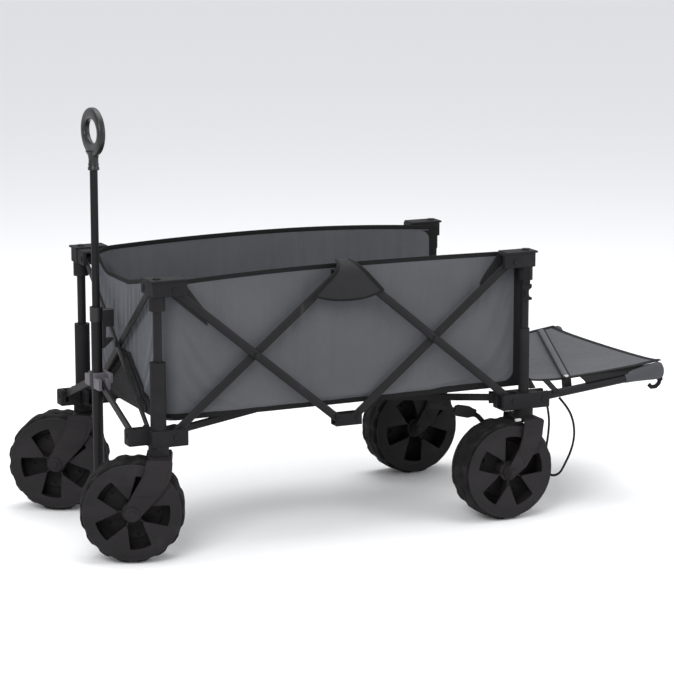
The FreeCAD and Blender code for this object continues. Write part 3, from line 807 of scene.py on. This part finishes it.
def ripple(x, z, seed, scale):
    return noise.noise(Vector((x * scale, z * scale, seed)))


WALL_LOW = 0.309  # height of the liner's lower edge
WALL_X, WALL_REAR_X = 0.442, 0.464  # its front and rear ends
WALL_TOPS = {-1: (0.620, 0.634, 0.629), 1: (0.632, 0.645, 0.623)}  # front, middle and rear, by side
WALL_Y = 0.220
CORNER_R = 0.045  # the liner's round front corners
CORNER_RUN = CORNER_R * math.pi / 2
WALL_RUN = CORNER_RUN - CORNER_R + WALL_X + WALL_REAR_X  # length of a side wall round its corner
FRONT_HALF = WALL_Y - CORNER_R  # half the straight part of the front wall


def wall_top(x, sign):
    """Height of a side wall's top edge, a shallow arch."""
    front, middle, rear = WALL_TOPS[sign]
    end, far = (front, WALL_X) if x < 0 else (rear, WALL_REAR_X)
    return middle - (middle - end) * (x / far) ** 2


def front_top(y):
    """Height of the front wall's top edge, which dips between the corner brackets."""
    near = max(0.0, (-y - 0.02) / 0.155)
    far = max(0.0, (y - 0.10) / 0.075)
    return 0.595 + 0.030 * min(1.0, near) + 0.030 * min(1.0, far) ** 2


def wall_plan(run, sign):
    """Lengthwise and crosswise place, and the outward direction, at a distance along a side wall."""
    if run < CORNER_RUN:
        angle = run / CORNER_R
        x = -WALL_X + CORNER_R * (1 - math.cos(angle))
        y = FRONT_HALF + CORNER_R * math.sin(angle)
        return x, sign * y, Vector((-math.cos(angle), sign * math.sin(angle), 0))
    return -WALL_X + CORNER_R + run - CORNER_RUN, sign * WALL_Y, Vector((0, sign, 0))


def wall_height(run, sign):
    x, y, _ = wall_plan(run, sign)
    if run >= CORNER_RUN:
        return wall_top(x, sign)
    share = run / CORNER_RUN
    return front_top(y) * (1 - share) + wall_top(x, sign) * share


SIDE_FOLDS = [  # (start, end, width, height in mm), in shares of the wall's length and height
    ((0.03, 0.92), (0.24, 0.34), 0.02625, 6.08), ((0.05, 0.95), (0.40, 0.10), 0.0375, -4.56),
    ((0.46, 0.90), (0.30, 0.30), 0.0225, 4.94), ((0.54, 0.90), (0.70, 0.25), 0.0225, 5.32),
    ((0.97, 0.93), (0.78, 0.40), 0.03, 6.46), ((0.98, 0.70), (0.84, 0.12), 0.0225, -5.7),
    ((0.88, 0.85), (0.90, 0.08), 0.01875, 4.94), ((0.08, 0.30), (0.45, 0.04), 0.0225, 3.8),
    ((0.60, 0.06), (0.93, 0.30), 0.02625, 4.18), ((0.50, 0.80), (0.50, 0.10), 0.045, 4.56),
]


def side_wall(side, sign):
    """One side of the liner, which runs round its front corner to the front wall."""
    columns, rows = 164, 60

    def place(s, t):
        x, y, out = wall_plan(s * WALL_RUN, sign)
        z = WALL_LOW + (wall_height(s * WALL_RUN, sign) - WALL_LOW) * t
        free = 16 * s * (1 - s) * t * (1 - t)
        billow = 4.0 * MM * free + 2.0 * MM * ripple(x, z, 3 + sign, 9) * min(1, 3 * free)
        for start, end, width, height in SIDE_FOLDS:
            billow += height * MM * fold_line(s, t, start, end, width) * min(1, 4 * free)
        return Vector((x, y, z)) + out * billow

    piece = cloth_piece(f"liner_wall_{side}", columns, rows, place)

    def held(point):
        edge = min((WALL_REAR_X - point.x) / 5, (point.z - WALL_LOW) / 3, wall_top(point.x, sign) - point.z)
        return edge < 5 * MM or point.x < -WALL_X + CORNER_R

    def kept_in(point):
        return Vector((point.x, sign * min(sign * point.y, 0.2315), point.z))

    settle(piece, held, 0.006, 9 * MM, kept_in)
    laid = Laid(piece, columns, rows, lambda s: wall_plan(s * WALL_RUN, sign)[2])
    thickened(piece)
    body = f"top_middle_{side}"
    dressed(piece, body, (f"side_panel_{side}",))
    for made in (piece, *tape_round_wall(side, sign, body, laid), *corner_patches(side, sign, body, laid)):
        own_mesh(made)


def bound(edges, lift, thick=3.4 * MM, seam=4.5 * MM):
    """Bindings folded over edges, each (path, direction into the cloth, width), with a row of stitches."""
    shape = Shape()
    thread = Shape()
    for path, inward, width in edges:
        inward = Vector(inward)
        section = [(a, b + width / 2 - 2 * MM) for a, b in oval(thick / 2, width / 2, 16, 5)]
        shape.sweep(path, section, inward)
        stitches(thread, path, inward * (width - seam), lift)
    return shape, thread


def tape_round_wall(side, sign, body, laid):
    """Binding along the wall's top, rear end and bottom, and its rounded inner corners at the rear."""
    edges = ((laid.row(1, 80), (0, 0, -1), 10.5 * MM), (laid.row(0, 80), UP, 16 * MM),
             (laid.column(1, 20), (-1, 0, 0), 21 * MM))
    shape, thread = bound(edges, Vector((0, sign, 0)) * 1.9 * MM)
    reach = 26 * MM
    x = WALL_REAR_X - 18 * MM
    for z, up in ((laid(1, 1).z - 8 * MM, -1), (WALL_LOW + 13 * MM, 1)):
        fillet = [(x, z), (x - reach, z)]
        fillet += [(x - reach * (1 - math.sin(a)), z + up * reach * (1 - math.cos(a)))
                   for a in (math.pi / 2 * k / 8 for k in range(1, 9))]
        shape.plate([fillet], 3.0 * MM, 0.5 * MM, at((0, sign * WALL_Y, 0), SIDEWAYS))
    return (shape.done(f"wall_binding_{side}", "webbing", body, slot="liner_fabric"),
            thread.done(f"wall_stitching_{side}", "stitching", body, slot="liner_fabric"))


def corner_patches(side, sign, body, laid):
    """Black cloth laid on the wall above the side bars at both upper corners, widest at the corner and narrowing
    along the bar.
    """
    length = 0.100
    made = []
    for (end, sense), wall_end in zip(ENDS, (WALL_X, WALL_REAR_X)):
        def place(a, b, sense=sense, wall_end=wall_end):
            out = wall_end - 0.010 - length * a
            top = wall_top(sense * out, sign)
            low = 0.596 + (out - BAR_PIVOT_X) * BAR_SLOPE
            high = min(top - 0.004, low + 0.078 - 0.050 * a)
            s = (sense * out + WALL_X - CORNER_R + CORNER_RUN) / WALL_RUN
            return laid(s, (low + (high - low) * b - WALL_LOW) / (top - WALL_LOW), 1.3 * MM)

        patch = cloth_piece(f"corner_patch_{side}_{end}", 32, 12, place, "patch_cloth")
        thickened(patch, 1.0 * MM, False)
        dressed(patch, body)
        made.append(patch)
    return made


def hub_patch(side, sign):
    """Black cloth sewn to the wall's top edge that hangs over the top hub and the bars' ends."""
    body = f"top_middle_{side}"
    top_half, low_half = 0.018, 0.100
    profile = [(0.2225, 0.6435), (0.2400, 0.6400), (0.2540, 0.6345), (0.2625, 0.6270), (0.2665, 0.6170)]

    def place(a, b):
        across = 2 * a - 1
        drop = 0.556 + 0.016 * across * across
        if b < 0.25:
            k = b / 0.25 * (len(profile) - 1)
            n = min(int(k), len(profile) - 2)
            y = profile[n][0] + (profile[n + 1][0] - profile[n][0]) * (k - n)
            z = profile[n][1] + (profile[n + 1][1] - profile[n][1]) * (k - n)
        else:
            y, z = profile[-1][0], profile[-1][1] + (drop - profile[-1][1]) * (b - 0.25) / 0.75
        share = max(0.0, (0.6435 - z) / (0.6435 - 0.560))
        half = top_half + (low_half - top_half) * min(1.0, share)
        x = across * half
        beside, below = (abs(x) - 0.034) / 0.05, (0.628 - z) / 0.02
        press = 8.0 * MM * min(1.0, max(0.0, beside)) * min(1.0, max(0.0, below))
        soft = 1.2 * MM * ripple(x, z, 41 + sign, 26) * min(1.0, share)
        return (x, sign * (y - press + soft), z)

    piece = cloth_piece(f"hub_cover_{side}", 56, 36, place, "patch_cloth")
    laid = Laid(piece, 56, 36, lambda s: Vector((0, sign, 0)))
    thickened(piece, 1.2 * MM)
    dressed(piece, body)
    shape = Shape()
    thread = Shape()
    steps = 26
    section = [(u, v + 2.4 * MM) for u, v in oval(1.5 * MM, 4.2 * MM, 14, 4)]
    for a, lean in ((0, 1), (1, -1)):
        path = laid.column(a, steps, 0.6 * MM)
        inner = laid.column(a + lean * 0.1, steps)
        sides = [(point - edge).normalized() for point, edge in zip(inner, laid.column(a, steps))]
        shape.sweep(path, section, sides)
        stitches(thread, path[6:], sides[20] * 5.2 * MM, Vector((0, sign, 0)) * 1.6 * MM, 2.6 * MM, 4.6 * MM)
    hem = [(u, v + 1.5 * MM) for u, v in oval(1.1 * MM, 2.6 * MM, 12, 4)]
    shape.sweep(laid.row(1, 30, 0.2 * MM), hem, UP)
    shape.done(f"hub_cover_edging_{side}", "webbing", body, slot="liner_fabric")
    thread.done(f"hub_cover_stitching_{side}", "stitching", body, slot="liner_fabric")


STITCH_FACES = [(0, 1, 2), (0, 2, 3), (0, 3, 4), (0, 4, 1), (5, 2, 1), (5, 3, 2), (5, 4, 3), (5, 1, 4)]


def stitches(shape, path, inset, lift, length=3.2 * MM, pitch=5.5 * MM):
    """Small thread stitches along a path, moved inward from it and lifted off the cloth."""
    for start, end in zip(path, path[1:]):
        run = Vector(end) - Vector(start)
        count = max(1, round(run.length / pitch))
        along = run.normalized() * length / 2
        across = along.cross(Vector(lift)).normalized() * 0.45 * MM
        up = Vector(lift).normalized() * 0.35 * MM
        for k in range(count):
            centre = Vector(start) + run * (k + 0.5) / count + Vector(inset) + Vector(lift)
            tips = (-along, -across, up, across, -up, along)
            shape.add([centre + tip for tip in tips], STITCH_FACES)


def front_wall():
    """The front of the liner, between the two rounded corners, with a black sheet over its lower middle as painted
    shade, and crossing tapes.
    """
    columns, rows = 72, 60
    body = "top_near_front"
    x0 = -WALL_X

    def place(s, t):
        y = -FRONT_HALF + 2 * FRONT_HALF * s
        z = WALL_LOW + (front_top(y) - WALL_LOW) * t
        free = 16 * s * (1 - s) * t * (1 - t)
        billow = 4 * MM * free + 2.6 * MM * math.sin(s * 17 + 1.3 * t) * free
        billow += 2.0 * MM * ripple(y, z, 11, 12) * min(1, 3 * free)
        return (x0 - billow, y, z)

    # The front wall gets the darker, bluer copy of the liner cloth: painted shade.
    piece = cloth_piece("liner_wall_front", columns, rows, place, "liner_front")

    def held(point):
        return min(FRONT_HALF - abs(point.y), point.z - WALL_LOW, front_top(point.y) - point.z) < 4 * MM

    def kept_in(point):
        return Vector((min(x0 + 1 * MM, max(point.x, -0.4515)), point.y, point.z))

    settle(piece, held, 0.008, 8 * MM, kept_in)
    laid = Laid(piece, columns, rows, lambda s: Vector((-1, 0, 0)))
    thickened(piece)
    dressed(piece, body, ("front_panel",))
    edges = ((laid.row(1, 40), (0, 0, -1), 10.5 * MM), (laid.row(0, 40), UP, 16 * MM))
    shape, thread = bound(edges, Vector((-1.9 * MM, 0, 0)))
    # The black sheet over the lower middle of the front wall stands where the wall is in shade: painted shade. The
    # tapes run along its edges.
    shade_sheet_top = 0.430

    def shade_sheet_half(z):
        rise = max(0.0, (0.432 - z) / (0.432 - WALL_LOW))
        return min(FRONT_HALF - 2 * MM, 0.026 + 0.17 * rise**1.15)

    def on_wall(y, z, lift):
        share = (z - WALL_LOW) / (front_top(y) - WALL_LOW)
        return laid((y + FRONT_HALF) / (2 * FRONT_HALF), share, lift)

    def shade_sheet_place(a, b):
        z = WALL_LOW + 0.002 + (shade_sheet_top - WALL_LOW) * b
        return on_wall((2 * a - 1) * shade_sheet_half(z), z, 1.4 * MM)

    # Black sheet on the wall's lower middle: painted shade.
    shade_sheet = cloth_piece("front_painted_shade", 60, 26, shade_sheet_place, "patch_cloth")
    thickened(shade_sheet, 1.0 * MM, False)
    dressed(shade_sheet, body)
    for side in (-1, 1):
        for inset, wide in ((0, 11 * MM), (26 * MM, 10 * MM)):
            path = []
            for k in range(25):
                z = shade_sheet_top - (shade_sheet_top - WALL_LOW - 0.004) * k / 24
                y = side * max(0.004, shade_sheet_half(z) - inset - 0.5 * inset * k / 24)
                path.append(on_wall(y, z, 3.0 * MM))
            shape.sweep(path, oval(wide / 2, 1.2 * MM, 14, 4), Vector((-1, 0, 0)))
    binding = shape.done("front_binding", "webbing", body, slot="liner_fabric")
    stitching = thread.done("front_stitching", "stitching", body, slot="liner_fabric")
    for made in (piece, shade_sheet, binding, stitching):
        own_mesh(made)


FLOOR_TOP = 0.312
FLOOR_HALF = 0.217


def floor_strips():
    """The padded floor in three parts that fold with the frame."""
    parts = (
        ("front", -0.441, -0.150, "corner_near_front"),
        ("middle", -0.148, 0.148, "bottom_middle_near"),
        ("rear", 0.150, 0.451, "corner_near_rear"),
    )
    for name, x0, x1, body in parts:
        def place(s, t, x0=x0, x1=x1):
            x = x0 + (x1 - x0) * s
            y = FLOOR_HALF * (2 * t - 1)
            free = 16 * s * (1 - s) * t * (1 - t)
            pad = 3.0 * MM * min(1, 2.5 * free) + 1.5 * MM * ripple(x, y, 21, 14) * min(1, 3 * free)
            return (x, y, FLOOR_TOP - 1.5 * MM + pad)

        piece = cloth_piece(f"liner_floor_{name}", 60, 84, place)
        thickened(piece, 2 * MM)
        dressed(piece, body, ("floor_panel",) if name == "middle" else ())
        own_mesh(piece)


# ---- tailgate --------------------------------------------
TAIL_HINGE = joint_place("tailgate")
TAIL_RISE = math.radians(5.7)
TAIL_ALONG = Vector((math.cos(TAIL_RISE), 0, math.sin(TAIL_RISE)))
TAIL_UP = Vector((-math.sin(TAIL_RISE), 0, math.cos(TAIL_RISE)))


def tail_point(u, y, w):
    """A place on the tailgate: u out from the hinge, y across the wagon, w above the tubes' centre lines."""
    return Vector((TAIL_HINGE.x, y, TAIL_HINGE.z)) + TAIL_ALONG * u + TAIL_UP * w


def tail_half_width(u):
    return 0.206 + 0.038 * min(1.0, max(0.0, (u - 0.040) / 0.220))


def tail_cloth():
    """The tailgate's cloth: from the basket's floor out over the braces, sleeved on the tubes' ends."""
    columns, rows = 64, 84
    start, end = -0.012, 0.326

    def height(u):
        rise = max(0.0, (0.085 - u) / 0.097)
        return (21.7 + 15 * rise * rise) * MM

    def place(s, t):
        u = start + (end - start) * s
        half = tail_half_width(u)
        y = -half + 2 * half * t
        bow = (0.010 - 0.022 * t - 0.008 * (1 - (2 * t - 1) ** 2)) * s**3
        wave = 1.0 * MM * ripple(u, y, 31, 12) * 4 * t * (1 - t) * min(1, 4 * (1 - s))
        lift = 4.5 * MM * (abs(2 * t - 1) ** 8) * max(0.0, (s - 0.55) / 0.45)
        return tail_point(u + bow, y, height(u) + wave + lift)

    piece = cloth_piece("tailgate_cloth", columns, rows, place, "tail_fabric")
    laid = Laid(piece, columns, rows, lambda s: TAIL_UP)
    thickened(piece)
    dressed(piece, "tail_near", ("tail_panel",))
    edges = ((laid.column(1, 40), -TAIL_ALONG, 13 * MM), (laid.column(0, 40), TAIL_ALONG, 14 * MM),
             (laid.row(0, 40), (0, 1, 0), 15 * MM), (laid.row(1, 40), (0, -1, 0), 15 * MM))
    shape, thread = bound(edges, TAIL_UP * 1.8 * MM, 3.0 * MM, 5 * MM)
    binding = shape.done("tailgate_binding", "webbing", "tail_near", slot="liner_fabric")
    stitching = thread.done("tailgate_stitching", "stitching", "tail_near", slot="liner_fabric")
    for made in (piece, binding, stitching):
        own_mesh(made)


SLEEVE = [  # along the tube, half width, and height above and below the tube's centre line, in mm
    (232, 10.6, 10.6, 10.6), (238, 11.4, 12.5, 11.4), (258, 11.8, 16.0, 12.6), (285, 12.2, 19.5, 14.6),
    (312, 12.6, 23.0, 17.0), (328, 12.4, 24.5, 18.0), (336, 10.5, 20.0, 15.0), (340, 6.0, 11.0, 8.0),
]


def tail_sleeves():
    """Cloth sleeves on the outer ends of the tailgate's tubes, the webs and tabs between the cloth and the
    tubes, and the hooks under the sleeves."""
    for side, sign in SIDES:
        body = f"tail_{side}"
        wrap = Shape()
        web = Shape()
        hook = Shape()
        y0 = sign * POST_Y
        rings = []
        steps = 26
        for u, wide, high, low in SLEEVE:
            for k in range(steps):
                angle = math.tau * k / steps
                crease = 0.5 * math.sin(3 * angle + 0.04 * u)
                y = (wide + crease) * math.cos(angle)
                w = ((high if angle < math.pi else low) + crease) * math.sin(angle)
                rings.append(tail_point(u * MM, y0 + y * MM, w * MM))
        wrap.add(rings, ring_faces(8, steps, False, True) + [tuple(range(7 * steps, 8 * steps))])
        points = []
        for k in range(21):
            u = 0.318 - 0.193 * k / 20
            seam = tail_half_width(u) - 0.002
            across = ((seam, 22.5), (0.2445, 16), (0.2510, 11.4), (0.2470, 10.6), (0.2425, 14), (seam, 20.8))
            points += [tail_point(u, sign * y, w * MM) for y, w in across]
        web.add(points, ring_faces(21, 6, False, True))
        tabs = (
            (-0.008, ((0.2035, 37), (0.2165, 28), (0.2275, 19.5))),
            (0.040, ((0.2035, 27), (0.2150, 22.5), (0.2290, 17.5),
                     (0.2400, 12.8), (0.2500, 11.4), (0.2562, 5))),
        )
        for u, path in tabs:
            web.sweep([tail_point(u, sign * y, w * MM) for y, w in path], oval(9 * MM, 0.9 * MM, 14, 5), UP)
        bend = ((0.330, -12), (0.330, -22), (0.326, -30), (0.317, -36), (0.305, -35), (0.299, -28))
        bend = [tail_point(u, y0, w * MM) for u, w in bend]
        hook.sweep(bend, oval(5.2 * MM, 3.8 * MM, 16, 2.6), Vector((0, 1, 0)))
        hook.disc(7 * MM, 0, 7 * MM, 2 * MM, at(tail_point(0.330, y0, -22 * MM)))
        sleeve = wrap.done(f"tail_sleeve_{side}", "tail_fabric", body, slot="liner_fabric")
        thickened(sleeve, 0.8 * MM, False)
        web.done(f"tail_webs_{side}", "webbing", body, slot="liner_fabric")
        hook.done(f"tail_hook_{side}", "hub_plastic", body)


BRACE_TOP = 27 * MM  # upper side of the near brace above the tubes' centre lines


def brace_cover():
    """The cloth channel over the brace that crosses the tailgate's cloth, with dark tapes along both its sides as
    painted shadow lines, and its rivet.
    """
    near, far = tail_point(0.089, -0.219, BRACE_TOP), tail_point(0.265, 0.219, BRACE_TOP)
    along = (far - near).normalized()
    across = TAIL_UP.cross(along)
    start, end = near + along * 14 * MM, far + along * 6 * MM

    def place(s, t):
        return start.lerp(end, s) + across * (13 * MM * (t - 0.5)) + TAIL_UP * (0.8 + 4.8 * t * (1 - t)) * MM

    cover = cloth_piece("brace_cover", 60, 8, place, "tail_fabric")
    thickened(cover, 1 * MM, False)
    dressed(cover, "brace_near")
    shape = Shape()
    # Dark tapes along both sides of the channel: painted shadow lines.
    for t in (-1, 1):
        edge = [start.lerp(end, k / 12) + across * (t * 8.4 * MM) + TAIL_UP * 0.2 * MM for k in range(13)]
        shape.sweep(edge, oval(2.6 * MM, 1.1 * MM, 12, 3), TAIL_UP)
    shape.done("brace_cover_shadow_lines", "webbing", "brace_near", slot="liner_fabric")
    head = Shape()
    head.disc(6.5 * MM, 0.8 * MM, 4.4 * MM, 1.4 * MM, at(near, turned_to(TAIL_UP)), 24)
    head.done("brace_rivet", "fasteners", "tail_near", slot="black_tube")


# ---- the pull handle's grip ------------------------------
GRIP_X = -0.514
GRIP_Z = 0.9365
GRIP_OUTSIDE = (61 * MM, 55 * MM)  # half width and half height of the oval
GRIP_HOLE = (42.5 * MM, 27.5 * MM)


def grip():
    """The oval ring the hand goes through, its flared neck and the neck's ribs."""
    shape = Shape()
    rings = []
    around = 72
    section = oval(1.0, 9 * MM, 24, 3.2)
    for k in range(around):
        turn = math.tau * k / around
        inner = Vector((0, GRIP_HOLE[0] * math.cos(turn), GRIP_HOLE[1] * math.sin(turn) + 1.5 * MM))
        outer = Vector((0, GRIP_OUTSIDE[0] * math.cos(turn), GRIP_OUTSIDE[1] * math.sin(turn)))
        for a, b in section:
            place = inner.lerp(outer, (1 + a) / 2)
            rings.append(Vector((GRIP_X + b, place.y, GRIP_Z + place.z)))
    shape.add(rings, ring_faces(around, len(section), True, True))
    mast = at((GRIP_X, 0, 0))
    neck = [(8.4, 850), (11.8, 850), (13, 851), (13, 856), (11.6, 858), (11, 874), (12.5, 884), (18, 893)]
    neck.append((8.4, 893))
    shape.lathe(in_mm(neck), 40, mast)
    shape.disc(12.2 * MM, 0.8615, 0.8650, 0.8 * MM, mast, 36)
    shape.done("grip", "grip_plastic", "handle", replaces=("handle_grip",), crisp=40)


# ---- straps and caps -------------------------------------
def buckle(name, outline, corner, thick, edge, place, body):
    """A moulded buckle of an outline in mm, standing along the wagon's side."""
    shape = Shape()
    shape.plate([rounded(in_mm(outline), corner, 3)], thick, edge, place @ SIDEWAYS)
    shape.done(name, "hub_plastic", body)


def post_strap():
    """Short webbing end with the male half of a side-release buckle, hanging on the near rear post."""
    x, y = 0.4545, -0.2650
    strap = Shape()
    drop = [(x, y + 1 * MM, 0.602), (x, y, 0.590), (x, y - 0.5 * MM, 0.572), (x, y - 0.5 * MM, 0.556)]
    strap.sweep(drop, oval(9.5 * MM, 0.9 * MM, 14, 5), Vector((0, 1, 0)))
    strap.done("post_strap", "webbing", "top_near_rear")
    half = [(13, 38), (13, 30), (5.5, 24), (5, 15), (7, 9), (14, 6), (13, 0)]
    outline = half + [(-u, v) for u, v in reversed(half)]
    place = at((x, y - 1 * MM, 0.520))
    buckle("post_strap_buckle", outline, 1.6 * MM, 5 * MM, 1.2 * MM, place, "top_near_rear")


def under_strap():
    """Strap with a closed buckle that runs under the floor beside the near rear wheel."""
    y = -0.200
    strap = Shape()
    route = [(0.236, 0.276), (0.264, 0.269), (0.286, 0.263), (0.305, 0.258), (0.350, 0.2475), (0.366, 0.236),
             (0.384, 0.216), (0.396, 0.204)]
    strap.sweep([(x, y, z) for x, z in route], oval(6 * MM, 0.8 * MM, 14, 5), Vector((0, 1, 0)))
    strap.done("under_strap", "webbing", "corner_near_rear")
    half = [(-28, 9), (-20, 13.5), (10, 14), (20, 10), (29, 9)]
    outline = half + [(u, -v) for u, v in reversed(half)]
    place = at((0.329, y, 0.2525), Matrix.Rotation(math.radians(13), 4, "Y"))
    buckle("under_strap_buckle", outline, 2.4 * MM, 12 * MM, 2.5 * MM, place, "corner_near_rear")


def caps_and_bolts():
    """Low domes on the corner caps over the posts, and the bright bolt beside each rear fork's crown."""
    for side, sign in SIDES:
        for end, sense in ENDS:
            dome = Shape()
            dome.disc(9 * MM, 0.635, 0.6395, 2.5 * MM, at((sense * POST_X, sign * POST_Y, 0)), 32)
            dome.done(f"post_cap_{side}_{end}", "bracket_plastic", f"top_{side}_{end}")
        bolt = Shape()
        place = at((0.431, sign * 0.287, 0.2405), turned_to((-1, 0, 0)))
        bolt.disc(4.2 * MM, 0, 15 * MM, 1.5 * MM, place, 20)
        bolt.done(f"crown_bolt_{side}", "fasteners", f"corner_{side}_rear", slot="fork_plastic")


def dress_frame_nodes():
    """Materials of the CAD pieces that stay as they are."""
    slots = {part["node"]: part["material_slot"] for part in frame["record"]["subparts"]}
    for name, node in NODES.items():
        look = LOOKS[slots[name]]
        for slot in node.material_slots:
            slot.material = look


add_camera()
hanging_loop()
add_studio()
dress_frame_nodes()
wheels()
side_bars()
front_bars()
for wall_side, wall_sign in SIDES:
    side_wall(wall_side, wall_sign)
    hub_patch(wall_side, wall_sign)
front_wall()
floor_strips()
tail_cloth()
tail_sleeves()
brace_cover()
post_strap()
under_strap()
caps_and_bolts()
grip()
